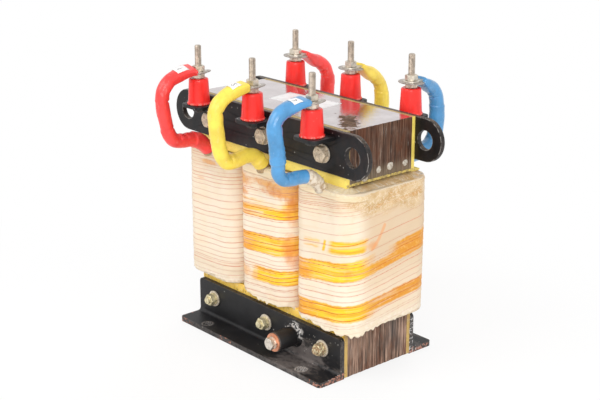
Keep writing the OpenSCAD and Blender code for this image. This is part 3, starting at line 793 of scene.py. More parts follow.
def resin_finish(c):
    """Glossy moulded red resin with slight swirls and handling dust."""
    f = Finish("red_insulator")
    z = f.xyz()[2]
    swirl = f.noise(9.0, (1.0, 1.0, 0.4))
    fine = f.noise(1.1, detail=3.0)
    base = f.mix(swirl.rise(0.3, 0.7), shade(c.red_resin, 0.86), shade(c.red_resin, 1.12))
    dust = f.noise(2.2, (1.0, 1.0, 0.5), 4.0, 0.65).rise(0.66, 0.76)
    base = f.mix(dust * 0.22, base, (0.85, 0.45, 0.38))
    lip = z.fall(POST_LOW[2] + 1.6, POST_LOW[2] + 3.0)
    rubbed = lip * f.noise(3.0, (1.0, 1.0, 0.5), 3.0, 0.6).rise(0.44, 0.60)
    base = f.mix(rubbed * 0.45, base, (0.95, 0.52, 0.42))
    return f.set(
        Base_Color=base,
        Roughness=0.30 + fine * 0.12 + dust * 0.2,
        Specular_IOR_Level=0.25,
        Coat_Weight=0.30,
        Coat_Roughness=0.07,
        Normal=f.bump(swirl * 0.6 + fine * 0.4, 0.12, 0.35),
    )


def paint_finish(name, c, worn, edge_wear_and_highlight, chips=None):
    """Black paint over steel: pale rubs along the edges, a thin pale line right on them that is partly wear
    and partly a painted highlight, and rust and red primer where it is chipped off.
    The caller gives the distance from an edge in millimetres and, if any, where it is chipped most."""
    f = Finish(name)
    place = f.xyz()
    edge = worn(f, *place)
    cloud = f.noise(20.0)
    fine = f.noise(1.4, detail=4.0, rough=0.65)
    grit = f.noise(4.5, detail=4.0, rough=0.6)
    base = f.mix(cloud.rise(0.3, 0.75), shade(c.black_paint, 0.8), shade(c.black_paint, 1.8))
    rub = edge.fall(0.0, 8.0) * fine.rise(0.52, 0.70)
    base = f.mix(rub * (0.08 + 0.5 * edge_wear_and_highlight), base, (0.20, 0.17, 0.155))
    # A thin pale line right on the edges: partly edge wear, partly a painted highlight where the edges catch
    # the light.
    bright = edge.fall(0.2, 1.3) * grit.rise(0.36, 0.56)
    base = f.mix(bright * edge_wear_and_highlight, base, (0.34, 0.29, 0.26))
    bare = chips(*place) if chips else 0.0
    chip = (edge + (grit - 0.5) * 16.0 + (fine - 0.5) * 4.0 - bare * 2.6).fall(-3.1, -2.5)
    rust = f.mix(fine.rise(0.4, 0.6), (0.26, 0.10, 0.065), (0.50, 0.27, 0.21))
    rust = f.mix(f.noise(3.0).rise(0.60, 0.68), rust, (0.72, 0.66, 0.62))
    base = f.mix(chip, base, rust)
    speck = f.cells(10.0).fall(0.05, 0.085) * grit.rise(0.48, 0.58)
    base = f.mix(speck * 0.8, base, (0.62, 0.60, 0.56))
    return f, base, fine, chip


def clamp_bar_finish(c):
    """Bars: brownish cast, pale along the edges round the ends and lifting eyes, partly wear and partly a
    painted highlight.
    """

    def worn(f, x, y, z):
        rise = z - (BAR_LOW[2] + BAR_HIGH[2]) / 2
        past = abs(x) - (BAR_HIGH[0] - BAR_END)
        end = past.most(0.0)
        reach = (end * end + rise * rise) ** 0.5
        eye = (past * past + rise * rise) ** 0.5
        return (BAR_END - reach).least(eye - EYE_RADIUS)

    def chips(x, y, z):
        return abs(x).rise(146.0, 162.0) * z.rise(270.0, 280.0) - 1.1

    f, base, fine, chip = paint_finish("bar_black_paint", c, worn, 0.06, chips)
    _, ny, nz = f.facing()
    base = f.mix(nz.rise(0.5, 0.9) * fine.rise(0.40, 0.6) * 0.35, base, (0.30, 0.22, 0.16))
    x, y, z = f.xyz()
    # Pale line along the edges at the bar ends and round the eyes: partly wear, partly a painted highlight.
    scuff_and_highlight = worn(f, x, y, z).fall(0.5, 1.3) * abs(ny).rise(0.3, 0.7) * abs(x).rise(120.0, 150.0)
    base = f.mix(scuff_and_highlight * f.noise(5.0, detail=3.0).rise(0.42, 0.58) * 0.6, base, (0.46, 0.43, 0.40))
    smear = f.noise(11.0, (1.0, 1.0, 0.6), 4.0, 0.6)
    base = f.mix(smear.rise(0.42, 0.70) * 0.25, base, (0.050, 0.028, 0.022))
    return f.set(
        Base_Color=base,
        Roughness=0.32 + fine * 0.2 + chip * 0.3,
        Specular_IOR_Level=0.26,
        Normal=f.bump(fine - chip * 0.8, 0.18, 0.5),
    )


def tab_finish(c):
    """Terminal tabs under the insulators."""

    def worn(f, x, y, z):
        return BAR_HIGH[2] - z + (f.noise(12.0) - 0.5) * 4.0

    f, base, fine, _ = paint_finish("tab_black_paint", c, worn, 0.3)
    return f.set(
        Base_Color=base,
        Roughness=0.34 + fine * 0.22,
        Specular_IOR_Level=0.4,
        Normal=f.bump(fine, 0.15, 0.5),
    )


def angle_finish(c):
    """Foot angles: chipped along the toe, scraped and dusty beside the earth boss."""

    def worn(f, x, y, z):
        ends = ANGLE_HIGH[0] - abs(x)
        toe = -(abs(y) + ANGLE_LOW[1])
        toe = toe.most((z - FOOT_THICK - 0.5) * 4.0)
        top = ANGLE_HIGH[2] - z
        return ends.least(toe).least(top)

    def chips(x, y, z):
        left = x.fall(-122.0, -88.0) * 0.95
        middle = abs(x + 42.0).fall(4.0, 22.0) * 0.8
        right = x.rise(96.0, 124.0) * 1.1
        return (left + middle + right + 0.25) * z.fall(FOOT_THICK + 0.5, 12.0) - 0.35

    f, base, fine, chip = paint_finish("foot_black_paint", c, worn, 0.14, chips)
    x, y, z = f.xyz()
    front = y.fall(-40.0, -39.0)
    boss = ((x - BOSS_X) ** 2.0 + (z - BOSS_Z) ** 2.0) ** 0.5
    scrape = f.noise(5.0, (0.5, 1.0, 1.0), 5.0, 0.7)
    weld = boss.rise(12.0, 13.5) * boss.fall(15.5, 20.0) * front * z.rise(22.0, 34.0)
    base = f.mix(weld * scrape.rise(0.53, 0.60) * 0.75, base, (0.66, 0.63, 0.60))
    low = ((x - 70.0) / 42.0) ** 2.0 + ((z - 14.0) / 17.0) ** 2.0
    rubbed = (low + (scrape - 0.5) * 3.6).fall(0.0, 1.1) * front
    base = f.mix(rubbed * 0.55, base, (0.25, 0.215, 0.20))
    dusty = f.noise(9.0, (0.35, 1.0, 1.0), 5.0, 0.65).rise(0.52, 0.72) * x.rise(10.0, 110.0)
    base = f.mix(dusty * 0.38, base, (0.21, 0.175, 0.155))
    flecks = f.cells(4.5).fall(0.10, 0.16) * f.noise(16.0).rise(0.50, 0.62) * x.rise(20.0, 90.0)
    base = f.mix(flecks * 0.75, base, (0.60, 0.57, 0.54))
    rear_end = x.rise(ANGLE_HIGH[0] - 1.0, ANGLE_HIGH[0] - 0.4)
    rear_end = rear_end * y.rise(40.0, 41.0) * y.fall(58.0, 61.0)
    speck = f.noise(2.6, detail=3.0, rough=0.6).rise(0.52, 0.60)
    base = f.mix(rear_end * speck * 0.8, base, (0.62, 0.62, 0.62))
    # A painted glint: a pale ring round each fixing hole on the top of the foot, stronger to the right.
    hole = ((abs(x) - HOLE_X) ** 2.0 + (abs(y) - HOLE_Y) ** 2.0) ** 0.5
    rim = hole.fall(6.8, 9.0) * z.fall(FOOT_THICK + 0.4, FOOT_THICK + 1.2) * fine.rise(0.42, 0.54)
    base = f.mix(rim * (0.30 + x.rise(-40.0, 40.0) * 0.45), base, (0.50, 0.46, 0.43))
    return f.set(
        Base_Color=base,
        Roughness=0.36 + fine * 0.22 + chip * 0.2 + rubbed * 0.15,
        Specular_IOR_Level=0.3,
        Normal=f.bump(fine - chip * 0.8, 0.2, 0.5),
    )


def boss_finish(c):
    """Earth boss: glossy, rubbed at its end, pale where the weld spatter broke the paint."""

    def worn(f, x, y, z):
        return (y + 89.0) * 1.2

    f, base, fine, _ = paint_finish("boss_black_paint", c, worn, 0.3)
    y, z = f.xyz()[1:]
    weld = y.rise(-64.0, -60.0) * f.noise(3.0, detail=4.0).rise(0.46, 0.56) * z.rise(24.0, 34.0)
    base = f.mix(weld * 0.85, base, (0.60, 0.57, 0.54))
    return f.set(
        Base_Color=base,
        Roughness=0.30 + fine * 0.2,
        Specular_IOR_Level=0.4,
        Normal=f.bump(fine, 0.2, 0.5),
    )


def zinc_finish(name, base, rust, rust_share, metal=0.85, right_rust=0.0):
    """Dull plated steel, stained and rusty in the corners; the right hand fittings may be rustier."""
    f = Finish(name)
    x = f.xyz()[0]
    cloud = f.noise(5.0, detail=4.0, rough=0.6)
    fine = f.noise(1.0, detail=4.0, rough=0.7)
    colour = f.mix(cloud.rise(0.3, 0.7), shade(base, 0.70), shade(base, 1.15))
    patches = f.noise(2.6, detail=4.0, rough=0.65) + x.rise(60.0, 80.0) * right_rust
    spots = patches.rise(0.72 - rust_share * 0.4, 0.80 - rust_share * 0.4)
    colour = f.mix(spots * 0.85, colour, rust)
    return f.set(
        Base_Color=colour,
        Metallic=metal - spots * metal * 0.75,
        Roughness=0.30 + fine * 0.18 + spots * 0.3,
        Normal=f.bump(fine, 0.12, 0.45),
    )


def winding_finish(c, corner):
    """Varnished copper turns seen at the coil ends, under a last layer of cream tape."""
    f = Finish("varnished_copper")
    x, y, _ = f.xyz()
    straight_x, straight_y = TAPE_HALF - corner
    past_x = (abs((x + 1.5 * PITCH) % PITCH - PITCH / 2) - straight_x).most(0.0)
    past_y = (abs(y) - straight_y).most(0.0)
    depth = corner - (past_x * past_x + past_y * past_y) ** 0.5
    wire = f.noise(2.4, (0.2, 0.2, 1.0), 3.0, 0.6)
    dark = f.noise(7.0)
    base = f.mix(wire.rise(0.4, 0.6), (0.10, 0.05, 0.025), (0.34, 0.17, 0.07))
    base = f.mix(dark.rise(0.45, 0.65) * 0.7, base, (0.03, 0.018, 0.012))
    layer = depth.fall(5.5, 7.0)
    base = f.mix(layer, base, f.mix(dark, shade(c.tape, 0.9), (0.62, 0.46, 0.26)))
    return f.set(
        Base_Color=base,
        Metallic=(1.0 - layer) * 0.2,
        Roughness=0.38 + dark * 0.2,
        Normal=f.bump(wire, 0.5, 0.6),
    )


def paper_finish():
    """Plain white paper, a little grey and creased, with a thin dark rule near its edge."""
    f = Finish("blank_paper_label")
    inset = f.carried("inset")
    cloud = f.noise(16.0)
    fine = f.noise(1.2, detail=3.0)
    base = f.mix(cloud.rise(0.40, 0.75), (0.84, 0.83, 0.83), (0.64, 0.60, 0.60))
    rule = abs(inset - 1.6).fall(0.15, 0.40)
    base = f.mix(rule * 0.7, base, (0.12, 0.10, 0.11))
    return f.set(Base_Color=base, Roughness=0.30 + fine * 0.15, Normal=f.bump(fine, 0.06, 0.3))


def marker_finish(spot):
    """Small white paper marker with a plain number in dark ink."""
    shapes = {
        "left": ((-0.9, 1.4), (0.0, 2.4), (0.0, -2.4)),
        "middle": ((-1.3, 1.6), (0.0, 2.4), (1.3, 1.4), (-1.3, -2.2), (1.4, -2.2)),
        "right": ((-1.3, 2.2), (1.2, 2.0), (-0.2, 0.3), (1.3, -1.0), (-1.3, -2.2)),
    }
    f = Finish(f"marker_paper_{spot}")
    across = f.carried("across")
    along = f.carried("along")
    cloud = f.noise(5.0)
    fine = f.noise(0.9, detail=3.0)
    base = f.mix(cloud.rise(0.4, 0.75), (0.92, 0.91, 0.90), (0.74, 0.71, 0.68))
    ink = f.strokes(across * 0.8, along * 0.8, shapes[spot], 0.8)
    base = f.mix(ink * 0.85, base, (0.05, 0.05, 0.07))
    return f.set(Base_Color=base, Roughness=0.35 + fine * 0.15, Normal=f.bump(fine, 0.06, 0.3))


# Operators


class REACTOR_OT_stage(bpy.types.Operator):
    """Camera, lamps, white surroundings and the floor with its shadow"""

    bl_idname = "reactor.stage"
    bl_label = "Stage"

    # The camera fitted to the photo: focal length and width in pixels, angles in degrees, aim and distance
    FOCAL_PIXELS = 1294.36
    PHOTO_PIXELS = 600.0
    SENSOR = 36.0
    AZIMUTH = 48.72
    ELEVATION = 17.75
    AIM = (-0.0055, 0.0, 0.1692)
    DISTANCE = 1.5426
    # Lamps: name, place, height that it aims at, size, watts, whether polished faces mirror it
    LAMPS = (
        ("key_softbox", (-0.68, -2.25, 2.25), 0.16, 2.1, 34.0, True),
        ("fill_softbox", (1.83, -1.77, 1.46), 0.22, 1.35, 25.0, True),
        ("small_softbox", (1.66, -0.80, 1.00), 0.28, 0.24, 3.2, True),
        ("side_softbox", (1.74, 0.25, 1.15), 0.20, 1.0, 6.5, False),
        ("rear_softbox", (-0.8, 1.5, 1.3), 0.18, 1.2, 11.0, False),
    )
    FLOOR_REACH = 12.0

    def execute(self, context):
        scene = context.scene
        scene.view_settings.view_transform = "Standard"
        self.camera(scene)
        for name, spot, height, size, watts, shows in self.LAMPS:
            self.lamp(scene, name, spot, (0.0, 0.0, height), size, watts, shows)
        self.surroundings(scene)
        self.floor(scene)
        return {"FINISHED"}

    def camera(self, scene):
        """The photo's own angle."""
        eye = bpy.data.cameras.new("photo_camera")
        eye.sensor_width = self.SENSOR
        eye.lens = self.FOCAL_PIXELS / self.PHOTO_PIXELS * self.SENSOR
        camera = bpy.data.objects.new("photo_camera", eye)
        scene.collection.objects.link(camera)
        azimuth = math.radians(self.AZIMUTH)
        elevation = math.radians(self.ELEVATION)
        back = Vector((
            math.sin(azimuth) * math.cos(elevation),
            -math.cos(azimuth) * math.cos(elevation),
            math.sin(elevation),
        ))
        camera.location = Vector(self.AIM) + back * self.DISTANCE
        camera.rotation_euler = (-back).to_track_quat("-Z", "Y").to_euler()
        scene.camera = camera

    def lamp(self, scene, name, spot, aim, size, watts, shows):
        """A square soft lamp."""
        data = bpy.data.lights.new(name, "AREA")
        data.size = size
        data.energy = watts
        lamp = bpy.data.objects.new(name, data)
        lamp.location = spot
        lamp.visible_glossy = shows
        lamp.rotation_euler = (Vector(aim) - Vector(spot)).to_track_quat("-Z", "Y").to_euler()
        scene.collection.objects.link(lamp)

    def surroundings(self, scene):
        """White where it is seen, a little dimmer where it only lights the part."""
        world = bpy.data.worlds.new("white_room")
        scene.world = world
        world.use_nodes = True
        n = Nodes(world.node_tree)
        light = n.node("ShaderNodeBackground", None, {"Color": (1.0, 0.99, 0.98), "Strength": 0.64})
        white = n.node("ShaderNodeBackground", None, {"Color": (1.0, 1.0, 1.0), "Strength": 1.0})
        both = n.node("ShaderNodeMixShader", None, {0: n.seen(), 1: light, 2: white})
        n.node("ShaderNodeOutputWorld", None, {"Surface": both}, None)

    def floor(self, scene):
        """A white floor that keeps a soft shadow near the part."""
        f = Finish("pale_floor")
        f.set(Base_Color=(0.88, 0.88, 0.88), Roughness=0.9)
        x, y, _ = f.xyz()
        far = ((x * x + y * y) ** 0.5).rise(230.0, 620.0)
        glow = f.node("ShaderNodeEmission", None, {"Color": (1.0, 1.0, 1.0), "Strength": 1.0})
        crease_shade = Field(f, f.shader.outputs[0])
        both = f.node("ShaderNodeMixShader", None, {0: f.seen() * (0.80 + far * 0.20), 1: crease_shade, 2: glow})
        f.feed(f.output.inputs["Surface"], both)
        mesh = bpy.data.meshes.new("pale_floor")
        reach = self.FLOOR_REACH
        corners = [(-reach, -reach, 0.0), (reach, -reach, 0.0), (reach, reach, 0.0), (-reach, reach, 0.0)]
        mesh.from_pydata(corners, [], [(0, 1, 2, 3)])
        mesh.materials.append(f.material)
        floor = bpy.data.objects.new("pale_floor", mesh)
        scene.collection.objects.link(floor)


class REACTOR_OT_core(bpy.types.Operator):
    """Laminated core, gap sheet and insulating boards"""

    bl_idname = "reactor.core"
    bl_label = "Core and boards"

    def execute(self, context):
        c = context.scene.reactor_colours
        dress(["e_core", "i_yoke"], lamination_finish(c))
        boards = ["air_gap_sheet"]
        for side, _ in SIDES:
            boards += [f"{side}_upper_board", f"{side}_lower_board"]
        dress(boards, board_finish(c))
        soften(boards, 0.5)
        tube = zinc_finish("bolt_tube_paper", (0.55, 0.44, 0.24), (0.35, 0.24, 0.12), 0.2)
        dress(["upper_bolt_tubes", "lower_bolt_tubes"], tube)
        return {"FINISHED"}


class REACTOR_OT_coils(bpy.types.Operator):
    """Three taped coils with rolled tops and frayed bottoms"""

    bl_idname = "reactor.coils"
    bl_label = "Taped coils"

    # Points round a coil, and the seeds of its bumps
    COLUMNS = 300
    SEED = 40
    SEED_STEP = 10
    # Bands of varnish: from and to along the coil, low, high, tilt, how patchy, softness of the ends
    BANDS = {
        "left": (),
        "middle": (
            (46.0, 116.0, 161.0, 173.5, 0.07, 0.50, 6.0),
            (104.0, 178.0, 161.5, 173.0, 0.09, 0.25, 7.0),
            (40.0, 178.0, 173.0, 182.0, 0.07, 0.85, 9.0),
            (138.0, 178.0, 176.0, 186.0, 0.05, 0.5, 7.0),
            (46.0, 180.0, 117.0, 140.0, 0.10, 0.30, 6.0),
            (90.0, 180.0, 82.0, 100.0, 0.08, 0.25, 8.0),
        ),
        "right": (
            (78.0, 103.0, 150.0, 160.0, 0.09, 0.9, 3.0),
            (109.0, 113.0, 148.0, 161.0, 0.09, 0.3, 1.0),
            (119.0, 166.0, 147.0, 162.0, 0.09, 0.50, 5.0),
            (30.0, 340.0, 109.5, 121.5, 0.165, 0.15, 14.0),
            (30.0, 166.0, 120.5, 133.5, 0.155, 0.25, 13.0),
            (203.0, 330.0, 120.0, 132.0, 0.165, 0.30, 11.0),
            (30.0, 176.0, 65.5, 85.5, 0.105, 0.15, 14.0),
            (148.0, 340.0, 71.5, 86.0, 0.105, 0.40, 14.0),
        ),
    }
    # Small burnt spots: along, height, half width, half height, share
    BLOTS = {
        "left": ((316.0, 209.0, 15.0, 3.2, 0.85), (300.0, 186.0, 8.0, 1.6, 0.35)),
        "middle": (
            (62.0, 203.0, 26.0, 9.0, 0.90),
            (62.0, 188.0, 20.0, 6.0, 0.80),
            (140.0, 203.0, 36.0, 11.0, 0.95),
            (112.0, 207.0, 24.0, 4.5, 0.8),
            (156.0, 196.0, 13.0, 18.0, 0.9),
            (154.0, 174.0, 9.0, 16.0, 0.45),
            (152.0, 132.0, 13.0, 20.0, 0.7),
            (66.0, 90.0, 22.0, 9.0, 0.6),
        ),
        "right": (
            (236.0, 219.0, 10.0, 4.0, 0.6),
            (205.0, 205.0, 14.0, 3.0, 0.35),
            (178.0, 160.0, 9.0, 5.0, 0.5),
        ),
    }
    # Drawn out scratches of varnish: points along and up, width, share
    SCRATCHES = {
        "left": (),
        "middle": (),
        "right": ((((178.0, 156.0), (188.0, 166.0), (197.0, 180.0)), 4.2, 0.55),),
    }
    # How far the foot of the tape hangs: distance along the coil, drop
    FOOT = {
        "left": ((0.0, 0.0), (250.0, 0.0), (290.0, -3.0), (340.0, -3.0), (417.0, 0.0)),
        "middle": (
            (0.0, 0.0), (50.0, -5.5), (74.0, -5.0), (100.0, 1.5), (140.0, 0.3), (200.0, 0.5),
            (417.0, 0.0),
        ),
        "right": (
            (0.0, 0.0), (72.0, -1.2), (124.0, 2.3), (158.0, 4.6), (176.0, 1.0), (192.0, -1.4),
            (240.0, -3.4), (300.0, -2.0), (417.0, 0.0),
        ),
    }
    # How steeply the turns of tape climb
    RISE = {"left": 0.05, "middle": 0.10, "right": 0.13}
    # How far resin closes the top of a coil on its free side, and where round the coil it does
    COVER = {"left": 0.3, "middle": 0.0, "right": 1.0}
    COVERED = ((0, 92, 106, *SIDE_END, 417), (0, 0, 1, 1, 0, 0))
    # Resin near the top on front and side, browning on front and side (on the side partly painted shade),
    # painted shade on the side, tint of the foot
    WEAR_AND_SHADE = {
        "left": (0.30, 0.3, 0.10, 0.10, 0.0, 0.34),
        "middle": (0.36, 0.4, 0.0, 0.0, 0.3, 0.12),
        "right": (0.25, 1.0, 0.14, 0.50, 0.50, 0.0),
    }
    # How far apart the threads lie at some heights, from the foot of a coil to its top
    DENSE_AT = (80, 105, 165, 190)
    DENSE = {
        "left": (0.75, 1.25, 1.25, 0.62),
        "middle": (0.75, 0.85, 0.85, 0.7),
        "right": (0.95, 1.25, 1.25, 0.62),
    }
    # Widths of the turns of tape and how often each comes up
    TURNS = (2.8, 4.6, 6.2, 7.4, 8.6, 10.4)
    TURN_ODDS = (0.14, 0.14, 0.22, 0.24, 0.16, 0.10)
    TURN_COUNT = 120
    # The turns start this far below a coil, since they climb round it
    TURNS_BELOW = 80.0
    # The tape's face inside the CAD wrap, where its top starts to roll over, and rows of points between
    FACE = 0.75
    ROLL = 4.6
    ROWS = 134

    def execute(self, context):
        c = context.scene.reactor_colours
        sizes = context.scene.reactor_sizes
        for number, (spot, phase) in enumerate(SPOTS):
            marks = (self.BANDS[spot], self.BLOTS[spot], self.SCRATCHES[spot])
            finish = tape_finish(f"coil_tape_{spot}", c, marks, self.WEAR_AND_SHADE[spot])
            self.coil(spot, phase, number, sizes, finish)
        copper = winding_finish(c, sizes.coil_corner * TO_MM)
        dress([f"winding_{spot}" for spot, _ in SPOTS], copper)
        tube = Finish("pressboard_tube")
        fibre = tube.noise(2.0, (1.0, 1.0, 0.2), 4.0)
        tube.set(
            Base_Color=tube.mix(fibre, (0.34, 0.24, 0.07), (0.60, 0.44, 0.14)),
            Roughness=0.4 + fibre * 0.2,
            Normal=tube.bump(fibre, 0.2, 0.5),
        )
        dress([f"coil_tube_{spot}" for spot, _ in SPOTS], tube.material)
        return {"FINISHED"}

    def outline(self, corner, flip):
        """Round a coil from the middle of one side, by way of the front: distance, place and normal."""
        straight_x, straight_y = TAPE_HALF - corner
        steps = 24
        points = [(-TAPE_HALF[0], 0.0)]
        normals = [(-1.0, 0.0)]
        for i, j, first in ((-1, -1, 180), (1, -1, 270), (1, 1, 0), (-1, 1, 90)):
            for k in range(steps + 1):
                a = math.radians(first + 90 * k / steps)
                normals.append((math.cos(a), math.sin(a)))
                points.append((i * straight_x + corner * math.cos(a), j * straight_y + corner * math.sin(a)))
        points.append((-TAPE_HALF[0], 0.0))
        normals.append((-1.0, 0.0))
        points = np.array(points) * flip
        normals = np.array(normals) * flip
        strides = np.linalg.norm(np.diff(points, axis=0), axis=1)
        return np.concatenate([[0], np.cumsum(strides)]), points, normals

    def threads(self, spot, seed):
        """Heights of the thread lines, as if the tape were wound level, and the gaps between them."""
        rng = np.random.default_rng(seed)
        spaces = rng.choice(self.TURNS, self.TURN_COUNT, p=self.TURN_ODDS)
        lines = [TAPE_LOW[2] - self.TURNS_BELOW]
        for space in spaces:
            lines.append(lines[-1] + space * np.interp(lines[-1], self.DENSE_AT, self.DENSE[spot]))
        lines = np.array(lines)
        return lines, np.diff(lines)

    def rows(self, spot, seed, s, u, frill):
        """Rows of points from the frayed foot up the face and over the rolled top: inset and height."""
        low, high = TAPE_LOW[2], TAPE_HIGH[2]
        none = 0 * u
        ragged = 0.5 * lumps(seed + 1, u, none, 26, 1) + 0.8 * lumps(seed + 2, u, none, 110, 1)
        ragged = frill * ragged + np.interp(s, *zip(*self.FOOT[spot]))
        rim = 3.6 + 0.9 * lumps(seed + 3, u, none, 30, 1)
        rows = [
            (2.2 + none, low + 0.8 + none),
            (1.7 + none, low + 0.3 - 0.8 * ragged),
            (0.9 + none, low - ragged),
            (0.3 + none, low + 0.7 - 0.8 * ragged),
        ]
        for k in range(5):
            rows.append((self.FACE + none, low + 1.4 + 1.4 * k - 0.8 * ragged * (1 - k / 5)))
        for height in np.linspace(low + 8.5, high - self.ROLL, self.ROWS):
            rows.append((self.FACE + none, height + none))
        for k in range(1, 9):
            a = math.radians(112 * k / 8)
            rows.append((self.FACE + rim * (1 - math.cos(a)), high - self.ROLL + rim * math.sin(a)))
        fold = 0.6 * lumps(seed + 11, u, none, 40, 1)
        cover = self.COVER[spot] * np.interp(s, *self.COVERED)
        rows.append((7.0 + fold, high - 1.6 + 0.5 * fold + 1.4 * cover))
        rows.append((9.6 + fold, high - 0.4 + 0.8 * fold + 0.6 * cover))
        rows.append((12.4 + 3.0 * cover, high - 1.4 + 2.8 * cover))
        rows.append((12.8 + 8.0 * cover, high - 1.6 + 3.4 * cover))
        return rows, high + 1.2 + 0.6 * cover

    def coil(self, spot, phase, number, sizes, finish):
        """One coil's tape, with what the finish needs to know stored on its points."""
        flip = -1.0 if phase < 0 else 1.0
        way, points, normals = self.outline(sizes.coil_corner * TO_MM, flip)
        count = self.COLUMNS + 1
        s = np.linspace(0, way[-1], count)
        px = np.interp(s, way, points[:, 0])
        py = np.interp(s, way, points[:, 1])
        nx = np.interp(s, way, normals[:, 0])
        ny = np.interp(s, way, normals[:, 1])
        size = np.hypot(nx, ny)
        nx, ny = nx / size, ny / size
        u = s / way[-1]
        low, high = TAPE_LOW[2], TAPE_HIGH[2]
        seed = self.SEED + self.SEED_STEP * number
        lines, gaps = self.threads(spot, seed)
        rows, ceiling = self.rows(spot, seed, s, u, sizes.coil_frill * TO_MM)
        everything = []
        turn, gap, along, level = [], [], [], []
        for inset, z in rows:
            v = np.clip((z - low) / (high - low), 0, 1)
            wavy = 1.1 * lumps(seed + 4, u, v, 7, 6) + 0.5 * lumps(seed + 5, u, v, 23, 14)
            flat = z + wavy - self.RISE[spot] * (s - FRONT_START)
            t = np.interp(flat, lines, np.arange(len(lines)))
            g = gaps[np.clip(t.astype(int), 0, len(gaps) - 1)]
            f = t - np.floor(t)
            main = (z > low + 1.5) & (z < high - 4.0)
            out = sizes.tape_step * TO_MM * (1 - f) * np.minimum(1, g / 6) * main
            out = out + 0.45 * lumps(seed + 6, u, v, 9, 5) + 0.20 * lumps(seed + 7, u, v, 60, 26)
            crumple = np.clip((z - high + 8) / 6, 0, 1) + np.clip((low + 5 - z) / 5, 0, 1)
            creased = 0.45 * lumps(seed + 8, u, v, 44, 40) + 0.3 * lumps(seed + 9, u, v, 95, 60)
            out = out + crumple * creased
            dented = np.clip((low + 26 - z) / 20, 0, 1)
            dents = np.abs(lumps(seed + 12, u, v, 30, 10) + 0.5 * lumps(seed + 13, u, v, 70, 24))
            out = out - dented * 0.9 * dents
            up = np.clip((z - high + 6) / 5, 0, 1) * 0.9 * lumps(seed + 10, u, v, 36, 20)
            reach = np.minimum(out - inset, 0.3)
            x = phase * PITCH + px + nx * reach
            y = py + ny * reach
            everything.append(np.stack([x, y, np.minimum(z + up, ceiling)], 1))
            turn.append(t)
            gap.append(g)
            along.append(s)
            level.append(z)
        values = {
            "turn": np.concatenate(turn),
            "gap": np.concatenate(gap),
            "along": np.concatenate(along),
            "level": np.concatenate(level),
        }
        faces = grid_faces(len(rows), count, closed=False)
        points = np.concatenate(everything)
        piece = add_piece(f"taped_coil_{spot}", points, faces, finish, "coil_tape", values)
        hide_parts(f"tape_{spot}")


class REACTOR_OT_clamps(bpy.types.Operator):
    """Clamp bars with lifting eyes, terminal tabs, foot angles and the earth boss"""

    bl_idname = "reactor.clamps"
    bl_label = "Clamps and feet"

    def execute(self, context):
        c = context.scene.reactor_colours
        width = context.scene.reactor_sizes.edge_round * TO_MM
        bars = [f"{side}_clamp_bar" for side, _ in SIDES]
        tabs = [f"{side}_tab_{spot}" for side, _ in SIDES for spot, _ in SPOTS]
        feet = [f"{side}_foot_angle" for side, _ in SIDES]
        dress(bars, clamp_bar_finish(c))
        dress(tabs, tab_finish(c))
        dress(feet, angle_finish(c))
        dress(["earth_boss"], boss_finish(c))
        soften(bars + feet, width)
        soften(tabs + ["earth_boss"], width * 0.7)
        return {"FINISHED"}


class REACTOR_OT_insulators(bpy.types.Operator):
    """Red moulded stand-off insulators"""

    bl_idname = "reactor.insulators"
    bl_label = "Insulators"

    def execute(self, context):
        c = context.scene.reactor_colours
        finish = resin_finish(c)
        foot = (POST_HIGH[0] - POST_LOW[0]) / 2
        tall = POST_HIGH[2] - POST_LOW[2]
        neck = foot - 2.5
        profile = [
            (4.6, 0.0), (foot - 0.9, 0.0), (foot - 0.25, 0.25), (foot, 0.9),
            (foot, 1.7), (foot - 0.25, 2.2), (foot - 0.75, 2.6), (foot - 1.0, 3.2),
        ]
        for k in range(1, 7):
            profile.append((foot - 1.0 + (neck - foot + 1.0) * k / 6, 3.2 + (tall - 4.6) * k / 6))
        profile += [
            (neck - 0.35, tall - 0.7), (neck - 1.1, tall - 0.15), (neck - 1.8, tall),
            (6.2, tall), (6.0, tall - 0.2),
        ]
        for side, sign in SIDES:
            for spot, phase in SPOTS:
                part = placed(turned(profile, 72), (phase * PITCH, sign * STUD_Y, POST_LOW[2]))
                piece = add_piece(f"insulator_{side}_{spot}", *part, finish, "red_resin")
                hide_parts(f"{side}_post_{spot}")
        brass = zinc_finish("insert_brass", (0.55, 0.40, 0.18), (0.20, 0.12, 0.06), 0.3)
        dress(["post_inserts"], brass)
        black = zinc_finish("screw_black", (0.045, 0.042, 0.040), (0.30, 0.27, 0.24), 0.12, 0.2)
        dress(["post_screws"], black)
        soften(["post_screws"], 0.4)
        return {"FINISHED"}


